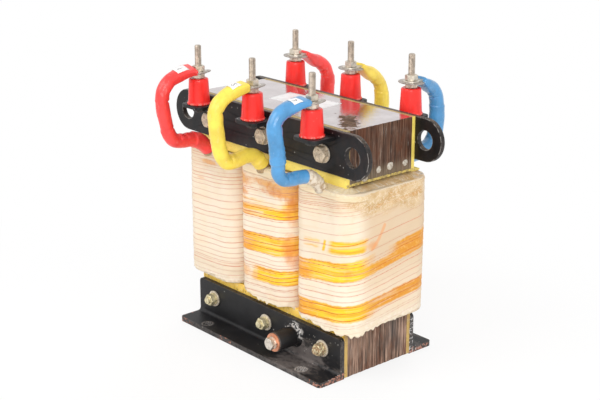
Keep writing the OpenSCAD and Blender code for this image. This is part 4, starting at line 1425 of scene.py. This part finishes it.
class REACTOR_OT_terminals(bpy.types.Operator):
    """Threaded studs, nuts, large washers and cable lugs"""

    bl_idname = "reactor.terminals"
    bl_label = "Terminals"

    STUD_RADIUS = 4.0
    NUT_BORE = 3.9
    WASHER_HOLE = 4.5
    # How much taller the lower nuts are than in the frame, and thinner the washers, as in the photo
    NUT_RAISED = 1.8
    WASHER_THIN = 0.6
    # How each nut happens to be turned, from the front left one, and how the washers lean
    TURNS = (12, 41, 25, 8, 33, 50)
    UPPER_TURN = 17
    LEAN = {-1: (3.5, -9.0), 1: (-2.0, 1.5)}
    CRISP_ANGLE = 28

    def execute(self, context):
        pitch = context.scene.reactor_sizes.thread_pitch * TO_MM
        steel = zinc_finish("stud_zinc", (0.54, 0.46, 0.38), (0.20, 0.12, 0.07), 0.22)
        nuts = zinc_finish("nut_zinc", (0.72, 0.65, 0.54), (0.28, 0.19, 0.11), 0.2)
        discs = zinc_finish("washer_zinc", (0.44, 0.39, 0.35), (0.17, 0.11, 0.07), 0.26)
        lugs = zinc_finish("lug_tin", (0.62, 0.57, 0.50), (0.30, 0.20, 0.12), 0.25)
        low_nut, low_nut_top = (v[2] for v in box_mm("terminal_lower_nuts"))
        disc, disc_top = (v[2] for v in box_mm("terminal_washers"))
        nut, nut_top = (v[2] for v in box_mm("terminal_upper_nuts"))
        across = box_mm("terminal_upper_nuts")[1][1] - STUD_Y
        wide = box_mm("terminal_washers")[1][1] - STUD_Y
        thin = self.WASHER_THIN * (disc_top - disc)
        low_nut_top += self.NUT_RAISED
        stud = threaded(self.STUD_RADIUS, POST_HIGH[2] - 2, STUD_HIGH[2], pitch)
        short_nut = hexagon(2 * across, low_nut_top - low_nut, self.NUT_BORE)
        ring = washer(wide, self.WASHER_HOLE, thin, 0.3)
        tall_nut = hexagon(2 * across, nut_top - nut, self.NUT_BORE)
        studs, lower, rings, upper = [], [], [], []
        places = [(sign, phase) for _, sign in SIDES for _, phase in SPOTS]
        for (sign, phase), spin in zip(places, self.TURNS):
            x, y = phase * PITCH, sign * STUD_Y
            studs.append(placed(stud, (x, y, 0.0), spin=spin))
            lower.append(placed(short_nut, (x, y, low_nut), spin=spin))
            rings.append(placed(ring, (x, y, low_nut_top), tilt=self.LEAN[sign]))
            upper.append(placed(tall_nut, (x, y, nut), spin=spin + self.UPPER_TURN))
        for name, parts, finish, node in (
            ("stud_threads", studs, steel, "terminal_studs"),
            ("nuts_below", lower, nuts, "terminal_lower_nuts"),
            ("large_washers", rings, discs, "terminal_washers"),
            ("nuts_above", upper, nuts, "terminal_upper_nuts"),
        ):
            piece = add_piece(name, *joined(parts), finish, "terminal_zinc")
            sharpen(piece, self.CRISP_ANGLE)
            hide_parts(node)
        dress(["cable_lugs"], lugs)
        soften(["cable_lugs"], 0.4)
        return {"FINISHED"}


class REACTOR_OT_leads(bpy.types.Operator):
    """Stiff sleeved leads from the lugs round to the coil tops, their bindings and numbered markers"""

    bl_idname = "reactor.leads"
    bl_label = "Leads"

    # Middle line of each lead in its upright plane: (distance out, height), from lug to coil
    ROUTES = {
        ("front", "left"): (
            (84.0, 323.8), (91.0, 323.5), (97.5, 322.5), (105.0, 320.0), (117.5, 315.0),
            (126.3, 305.0), (128.3, 293.0), (127.4, 281.6), (124.7, 268.7), (121.3, 255.5),
            (114.5, 244.8), (103.0, 241.5), (89.0, 240.6), (77.0, 236.6), (68.5, 229.6),
            (62.5, 223.0),
        ),
        ("front", "middle"): (
            (86.5, 321.2), (92.0, 320.6), (97.0, 319.6), (103.0, 317.9), (113.0, 314.0),
            (123.0, 307.6), (128.0, 298.5), (128.3, 288.0), (127.2, 277.0), (125.3, 264.0),
            (121.8, 250.0), (114.5, 239.6), (103.0, 238.4), (87.0, 241.0), (74.0, 238.6),
            (66.5, 230.5), (61.5, 223.0),
        ),
        ("front", "right"): (
            (85.0, 322.4), (91.0, 321.8), (97.0, 320.8), (103.0, 319.2), (111.0, 317.2),
            (121.5, 312.6), (127.4, 303.5), (127.8, 293.0), (126.2, 282.7), (124.4, 270.7),
            (123.6, 260.8), (122.8, 249.4), (116.5, 242.0), (107.0, 240.0), (94.6, 239.8),
            (81.5, 238.2), (70.0, 231.6), (62.5, 223.0),
        ),
        ("rear", "left"): (
            (88.0, 320.6), (96.0, 315.8), (104.8, 310.8), (116.0, 305.4), (124.5, 298.0),
            (129.4, 287.5), (130.0, 275.5), (129.0, 262.0), (125.8, 250.0), (118.6, 241.0),
            (106.0, 236.2), (90.0, 234.6), (76.0, 232.8), (66.0, 228.4), (61.0, 223.0),
        ),
        ("rear", "middle"): (
            (88.0, 320.6), (96.0, 315.6), (105.4, 310.0), (116.6, 302.6), (125.2, 291.5),
            (128.6, 277.0), (128.2, 263.0), (124.8, 250.6), (117.6, 241.6), (106.0, 236.4),
            (90.0, 235.0), (76.0, 233.0), (66.0, 228.6), (61.0, 223.0),
        ),
        ("rear", "right"): (
            (88.0, 320.8), (94.5, 316.6), (101.8, 312.0), (110.4, 306.4), (116.6, 297.0),
            (119.2, 283.5), (119.4, 269.0), (117.6, 254.6), (112.4, 243.4), (103.0, 236.8),
            (90.0, 234.4), (76.0, 232.6), (66.0, 228.2), (61.0, 223.0),
        ),
    }
    # Head on the lug: width and thickness as shares of the lead, roll in degrees, length of the flattening
    HEADS = {
        ("front", "left"): (1.36, 0.42, 15.0, 32.0),
        ("front", "middle"): (1.14, 0.62, 6.0, 24.0),
        ("front", "right"): (1.27, 0.42, 7.0, 30.0),
        ("rear", "left"): (1.25, 0.46, 0.0, 26.0),
        ("rear", "middle"): (1.25, 0.46, 0.0, 26.0),
        ("rear", "right"): (1.25, 0.46, 0.0, 24.0),
    }
    # Where the coloured sleeve stops, as a share of the route; a cloth binding goes on from there
    SLEEVE_END = {
        ("front", "left"): 0.985, ("front", "middle"): 0.972, ("front", "right"): 0.83,
        ("rear", "left"): 0.95, ("rear", "middle"): 0.95, ("rear", "right"): 0.90,
    }
    # Laps in a sleeve: distance out, height, step up or down, slant of its edge
    LAPS = {
        ("front", "left"): ((127.4, 294.0, -0.5, 2.5), (121.8, 260.0, 0.6, 4.0), (86.0, 240.0, 1.1, 1.5)),
        ("front", "middle"): ((70.0, 236.0, 1.0, 1.5),),
        ("front", "right"): (
            (125.4, 277.0, 0.4, 1.0), (124.6, 271.5, -0.3, -1.2), (124.2, 266.0, 0.4, 1.4),
            (123.6, 261.0, -1.1, 0.8),
        ),
        ("rear", "left"): ((129.4, 286.5, 0.6, 1.0),),
        ("rear", "middle"): ((127.2, 284.0, 0.5, 2.0),),
        ("rear", "right"): ((119.2, 286.0, 0.7, 0.8),),
    }
    # Creases on the inner side of a bend: distance out, height, depth
    CREASES = {
        ("front", "left"): (
            (127.6, 293.0, 1.7), (121.6, 259.0, 1.0), (109.0, 242.8, 1.8), (99.0, 241.2, 0.8),
        ),
        ("front", "middle"): ((127.6, 299.0, 1.0), (111.0, 239.0, 1.9)),
        ("front", "right"): ((127.0, 304.5, 0.7), (114.5, 241.0, 1.9)),
        ("rear", "left"): ((124.5, 298.0, 1.4), (116.0, 305.4, 0.7)),
        ("rear", "middle"): ((122.0, 296.5, 1.2), (114.0, 304.5, 0.6)),
        ("rear", "right"): ((115.5, 299.5, 1.4), (110.4, 306.4, 0.7)),
    }
    # Markers: from and to along the lead, from and to across it
    MARKERS = {
        "left": (9.0, 25.0, -6.5, 6.0),
        "middle": (8.0, 21.0, -5.0, 6.5),
        "right": (9.0, 22.0, -4.5, 7.5),
    }
    MARKER_COLUMNS = 25
    MARKER_LIFT = 0.5
    # Points round a lead and steps along it, and the seeds of their bumps
    ROUND = 48
    STEPS = 240
    SLEEVE_SEED = 70
    BINDING_SEED = 90

    def execute(self, context):
        c = context.scene.reactor_colours
        sizes = context.scene.reactor_sizes
        finishes = {
            "left": sleeve_finish("red_lead_sleeve", c.red_sleeve, (0.55, 0.02, 0.02), 0.1, 0.6),
            "middle": sleeve_finish("yellow_lead_sleeve", c.yellow_sleeve, (0.85, 0.42, 0.02), 0.45, 0.5),
            "right": sleeve_finish("blue_lead_sleeve", c.blue_sleeve, (0.02, 0.10, 0.30), 0.3, 1.0),
        }
        slots = {"left": "red_sleeve", "middle": "yellow_sleeve", "right": "blue_sleeve"}
        pale = cloth_finish("pale_binding", (0.76, 0.67, 0.55), (0.42, 0.29, 0.17), (0.88, 0.83, 0.76))
        brown = cloth_finish("brown_binding", (0.46, 0.31, 0.16), (0.16, 0.09, 0.05), (0.70, 0.58, 0.40))
        for number, key in enumerate(self.ROUTES):
            side, spot = key
            sign = dict(SIDES)[side]
            phase = dict(SPOTS)[spot]
            route = self.route(key)
            seed = self.SLEEVE_SEED + number
            piece = self.sleeve(key, route, sign, phase, sizes, finishes[spot], slots[spot], seed)
            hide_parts(f"{side}_lead_{spot}")
            cloth = pale if spot == "right" else brown
            self.binding(key, route, sign, phase, sizes, cloth, self.BINDING_SEED + number)
            if side == "front":
                self.marker(key, route, sign, phase, sizes, marker_finish(spot), seed)
        return {"FINISHED"}

    def route(self, key):
        """Evenly spaced points on a smooth curve through the route, with headings and shares."""
        knots = np.array(self.ROUTES[key])
        ends = np.vstack([2 * knots[0] - knots[1], knots, 2 * knots[-1] - knots[-2]])
        fine = []
        for a, b, d, e in zip(ends[:-3], ends[1:-2], ends[2:-1], ends[3:]):
            slope = d - a
            curve = 2 * a - 5 * b + 4 * d - e
            twist = 3 * b - a - 3 * d + e
            for t in np.linspace(0, 1, 24, endpoint=False):
                fine.append(0.5 * (2 * b + slope * t + curve * t**2 + twist * t**3))
        fine.append(knots[-1])
        fine = np.array(fine)
        way = np.concatenate([[0], np.cumsum(np.linalg.norm(np.diff(fine, axis=0), axis=1))])
        share = np.linspace(0, 1, self.STEPS + 1)
        line = np.stack([np.interp(share * way[-1], way, fine[:, i]) for i in (0, 1)], 1)
        heading = np.gradient(line, axis=0)
        heading = heading / np.linalg.norm(heading, axis=1)[:, None]
        swing = np.gradient(np.unwrap(np.arctan2(heading[:, 1], heading[:, 0]))) / (way[-1] / self.STEPS)
        return share, line, heading, swing, way[-1]

    def section(self, key, route, sizes, seed):
        """Half width, half thickness, roundness and roll along a lead, and how its size varies round it."""
        share, line, _, swing, total = route
        d = sizes.lead_width * TO_MM
        run = share * total
        broad, thin, roll, reach = self.HEADS[key]
        flat = eased(np.clip(1 - run / reach, 0, 1))
        tail = np.clip((run - total + 16) / 16, 0, 1)
        wide = d / 2 * (1 + (broad - 1) * flat + 0.02 * tail)
        thick = d / 2 * (1 - (1 - thin) * flat - 0.18 * tail)
        power = 2.0 / (2.0 + 2.4 * flat)
        lean = math.radians(roll) * np.clip(1.5 - run / reach, 0, 1)
        angles = circle(self.ROUND)
        u = angles[None, :] / (2 * math.pi) + 0 * share[:, None]
        v = share[:, None] + 0 * u
        inner = np.clip(-np.cos(angles), 0, 1)[None, :]
        bend = np.clip(-swing / 0.045, 0, 1.4)[:, None]
        extra = 0.28 * lumps(seed, u, v, 5, 12) + 0.10 * lumps(seed + 50, u, v, 9, 60)
        extra = extra + 0.30 * lumps(seed + 20, 0 * u + 0.5, v, 1, 16)
        extra = extra + bend * inner * (0.45 * lumps(seed + 30, u, v, 6, int(total / 7)) - 0.25)

        def reached(y, z):
            return run[np.argmin(np.hypot(line[:, 0] - y, line[:, 1] - z))]

        for y, z, step, slant in self.LAPS[key]:
            near = run[:, None] - reached(y, z) - slant * np.cos(angles - 0.7)[None, :]
            extra = extra + step * (0.5 + 0.5 * np.tanh(near / 0.7)) + 0.3 * np.exp(-((near / 1.3) ** 2))
        for y, z, depth in self.CREASES[key]:
            near = (run[:, None] - reached(y, z)) / 1.7
            extra = extra - depth * np.exp(-(near**2)) * inner**0.6
        limit = np.minimum(1, run / 5)[:, None]
        return wide, thick, power, lean, angles, extra * limit

    def tube(self, line, heading, form, sign, phase):
        """Points of a sleeve round its middle line."""
        wide, thick, power, lean, angles, extra = form
        sine, cosine = np.sin(angles)[None, :], np.cos(angles)[None, :]
        power = power[:, None]
        across = (wide[:, None] + extra) * np.sign(sine) * np.abs(sine) ** power
        away = (thick[:, None] + extra) * np.sign(cosine) * np.abs(cosine) ** power
        tip, level = np.sin(lean)[:, None], np.cos(lean)[:, None]
        x = across * level + away * tip
        away = away * level - across * tip
        y = line[:, 0][:, None] - away * heading[:, 1][:, None]
        z = line[:, 1][:, None] + away * heading[:, 0][:, None]
        return np.stack([phase * PITCH + x, sign * y, z], 2)

    def skin(self, rings, sign):
        """Faces round a row of rings, facing outwards on either side of the core."""
        faces = grid_faces(len(rings), self.ROUND)
        if sign < 0:
            faces = [face[::-1] for face in faces]
        return faces

    def sleeve(self, key, route, sign, phase, sizes, finish, slot, seed):
        """The coloured sleeve, closed at its head and turned in at its end."""
        share, line, heading, _, _ = route
        form = self.section(key, route, sizes, seed)
        rings = self.tube(line, heading, form, sign, phase)
        last = int(np.searchsorted(share, self.SLEEVE_END[key]))
        rings = list(rings[: last + 1])
        mouth = rings[-1]
        middle = mouth.mean(0)
        back = (rings[-4] - rings[-1]).mean(0)
        for scale, depth in ((0.97, -0.1), (0.90, 0.1), (0.86, 1.6)):
            rings.append(middle + (mouth - middle) * scale + back * depth)
        head = rings[0]
        centre = head.mean(0)
        front = (rings[0] - rings[3]).mean(0) * 0.12
        rings = [centre + (head - centre) * scale + front for scale in (0.02, 0.60, 0.94)] + rings
        name = f"sleeved_lead_{key[0]}_{key[1]}"
        return add_piece(name, np.concatenate(rings), self.skin(rings, sign), finish, slot)

    def binding(self, key, route, sign, phase, sizes, finish, seed):
        """Cloth round the lead's tail between the sleeve's end and the coil."""
        share, line, heading, _, total = route
        wide, thick, power, lean, angles, extra = self.section(key, route, sizes, seed)
        first = int(np.searchsorted(share, self.SLEEVE_END[key])) - 6
        u = angles[None, :] / (2 * math.pi) + 0 * share[:, None]
        rough = 0.6 * lumps(seed + 7, u, share[:, None] + 0 * u, 8, 70)
        past = np.clip((share - self.SLEEVE_END[key]) * total / 5, 0, 1)
        full = 0.86 + 0.10 * past
        form = (wide * full, thick * full, power, lean, angles, extra * 0.3 + rough)
        rings = self.tube(line, heading, form, sign, phase)[first:]
        tail = rings[-1]
        middle = tail.mean(0)
        closed = middle + (tail - middle) * 0.05
        rings = [*rings, tail - np.array([0, 0, 2.0]), closed - np.array([0, 0, 2.2])]
        name = f"tail_binding_{key[0]}_{key[1]}"
        add_piece(name, np.concatenate(rings), self.skin(rings, sign), finish, "coil_tape")

    def marker(self, key, route, sign, phase, sizes, finish, seed):
        """A paper marker with a plain number, laid over the top of a lead."""
        share, line, heading, _, total = route
        wide, thick, power, lean, angles, extra = self.section(key, route, sizes, seed)
        run = share * total
        begin, end, first, last = self.MARKERS[key[1]]
        ring = np.append(angles, 2 * math.pi)
        rows = np.where((run >= begin) & (run <= end))[0]
        points, across, along = [], [], []
        for i in rows:
            bumps = np.append(extra[i], extra[i][0])
            tip, level = math.sin(lean[i]), math.cos(lean[i])
            for x in np.linspace(first, last, self.MARKER_COLUMNS):
                turn = math.asin(min(abs(x) / wide[i], 0.995) ** (1 / power[i])) * (1 if x > 0 else -1)
                lift = np.interp(turn % (2 * math.pi), ring, bumps) + self.MARKER_LIFT
                away = (thick[i] + lift) * math.cos(turn) ** power[i]
                up = away * level - x * tip
                spot = line[i] + up * np.array([-heading[i, 1], heading[i, 0]])
                points.append((phase * PITCH + x * level + away * tip, sign * spot[0], spot[1]))
                across.append(x - (first + last) / 2)
                along.append(run[i] - (begin + end) / 2)
        faces = grid_faces(len(rows), self.MARKER_COLUMNS, closed=False)
        values = {"across": across, "along": along}
        piece = add_piece(f"marker_{key[1]}", points, faces, finish, None, values)
        thicken(piece, 0.4, 0.0)


class REACTOR_OT_bolts(bpy.types.Operator):
    """Clamp bolts with their washers and nuts, and the earth bolt"""

    bl_idname = "reactor.bolts"
    bl_label = "Bolts"

    def execute(self, context):
        gold = zinc_finish("bolt_zinc", (0.64, 0.52, 0.38), (0.24, 0.15, 0.08), 0.42, 0.30)
        pale = zinc_finish("lower_zinc", (0.74, 0.66, 0.42), (0.30, 0.15, 0.07), 0.26, 0.5, 0.16)
        disc = zinc_finish("clamp_washer_zinc", (0.68, 0.60, 0.48), (0.24, 0.14, 0.08), 0.3, 0.45)
        dress(["upper_bolts", "upper_nuts"], gold)
        dress(["upper_washers", "lower_washers"], disc)
        dress(["lower_bolts", "lower_nuts", "lower_spring_washers"], pale)
        bright = zinc_finish("earth_zinc", (0.72, 0.66, 0.58), (0.30, 0.18, 0.10), 0.2)
        copper = zinc_finish("earth_copper", (0.72, 0.32, 0.19), (0.36, 0.15, 0.08), 0.25)
        dress(["earth_bolt", "earth_spring_washer"], bright)
        dress(["earth_ring"], copper)
        for level in ("upper", "lower"):
            soften([f"{level}_bolts", f"{level}_nuts", f"{level}_washers"], 0.35)
        soften(["lower_spring_washers", "earth_bolt", "earth_spring_washer", "earth_ring"], 0.3)
        return {"FINISHED"}


class REACTOR_OT_labels(bpy.types.Operator):
    """Blank paper label on the yoke and drops of resin on its end"""

    bl_idname = "reactor.labels"
    bl_label = "Label and drops"

    # Corners of the label on the yoke
    CORNERS = ((-45.3, -15.9), (36.9, -7.7), (32.4, 31.4), (-51.4, 24.6))
    # Drops of resin on the yoke's end: across, height, radius
    DROPS = ((-24.6, 232.5, 4.6), (-3.4, 237.1, 4.0), (13.6, 238.4, 4.6), (37.4, 237.4, 4.2))
    DROP_RISE = 1.5
    DROP_SEED = 300

    def execute(self, context):
        self.label(paper_finish())
        self.drops()
        return {"FINISHED"}

    def label(self, finish):
        """A sheet of paper with one corner lifting."""
        a, b, d, e = (np.array(p) for p in self.CORNERS)
        wide = np.linalg.norm(b - a)
        deep = np.linalg.norm(e - a)
        columns, rows = 28, 34
        points, inset = [], []
        for j in range(rows):
            for i in range(columns):
                u, v = i / (columns - 1), j / (rows - 1)
                spot = (a * (1 - u) + b * u) * (1 - v) + (e * (1 - u) + d * u) * v
                lift = 0.10 + 0.9 * max(0.0, u + v - 1.72) ** 1.5
                points.append((spot[0], spot[1], YOKE_HIGH[2] + lift))
                inset.append(min(u * wide, (1 - u) * wide, v * deep, (1 - v) * deep))
        faces = grid_faces(rows, columns, closed=False)
        piece = add_piece("blank_label_top", points, faces, finish, None, {"inset": inset})
        thicken(piece, 0.15, -1.0)

    def drops(self):
        """Flat pale drops of resin."""
        f = Finish("pale_resin_drop")
        cloud = f.noise(2.5)
        f.set(
            Base_Color=f.mix(cloud.rise(0.40, 0.75), (0.58, 0.54, 0.46), (0.30, 0.24, 0.18)),
            Roughness=0.3 + cloud * 0.2,
            Normal=f.bump(cloud, 0.4, 0.6),
        )
        parts = []
        for number, (y, z, r) in enumerate(self.DROPS):
            slopes = np.linspace(0, math.pi / 2 - 0.02, 8)
            profile = [(r * math.cos(a), self.DROP_RISE * math.sin(a)) for a in slopes]
            points, faces = turned(profile, 28)
            angles = np.arctan2(points[:, 1], points[:, 0]) / (2 * math.pi) % 1.0
            grow = 1 + 0.22 * lumps(self.DROP_SEED + number, angles, 0 * angles, 6, 1)
            points = points * np.stack([grow, grow, np.ones(len(grow))], 1)
            parts.append(placed((points, faces), (YOKE_HIGH[0] - 0.7, y, z), (1, 0, 0)))
        add_piece("resin_drops", *joined(parts), f.material)


OPERATORS = (
    REACTOR_OT_stage,
    REACTOR_OT_core,
    REACTOR_OT_coils,
    REACTOR_OT_clamps,
    REACTOR_OT_insulators,
    REACTOR_OT_terminals,
    REACTOR_OT_leads,
    REACTOR_OT_bolts,
    REACTOR_OT_labels,
)


class REACTOR_PT_pieces(bpy.types.Panel):
    """Lists the pieces of the reactor"""

    bl_label = "Line Reactor"
    bl_idname = "REACTOR_PT_pieces"
    bl_space_type = "VIEW_3D"
    bl_region_type = "UI"
    bl_category = "Reactor"

    def draw(self, context):
        layout = self.layout
        for kind in OPERATORS:
            layout.operator(kind.bl_idname)
        for group in (context.scene.reactor_sizes, context.scene.reactor_colours):
            box = layout.box()
            for key in group.__annotations__:
                box.prop(group, key)


CLASSES = (ReactorSizes, ReactorColours, *OPERATORS, REACTOR_PT_pieces)


def register():
    for kind in CLASSES:
        bpy.utils.register_class(kind)
    bpy.types.Scene.reactor_sizes = bpy.props.PointerProperty(type=ReactorSizes)
    bpy.types.Scene.reactor_colours = bpy.props.PointerProperty(type=ReactorColours)


def unregister():
    del bpy.types.Scene.reactor_colours
    del bpy.types.Scene.reactor_sizes
    for kind in reversed(CLASSES):
        bpy.utils.unregister_class(kind)


def main():
    """Registers the add-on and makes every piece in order."""
    register()
    bpy.ops.reactor.stage()
    bpy.ops.reactor.core()
    bpy.ops.reactor.coils()
    bpy.ops.reactor.clamps()
    bpy.ops.reactor.insulators()
    bpy.ops.reactor.terminals()
    bpy.ops.reactor.leads()
    bpy.ops.reactor.bolts()
    bpy.ops.reactor.labels()
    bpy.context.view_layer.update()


if __name__ == "__main__":
    main()
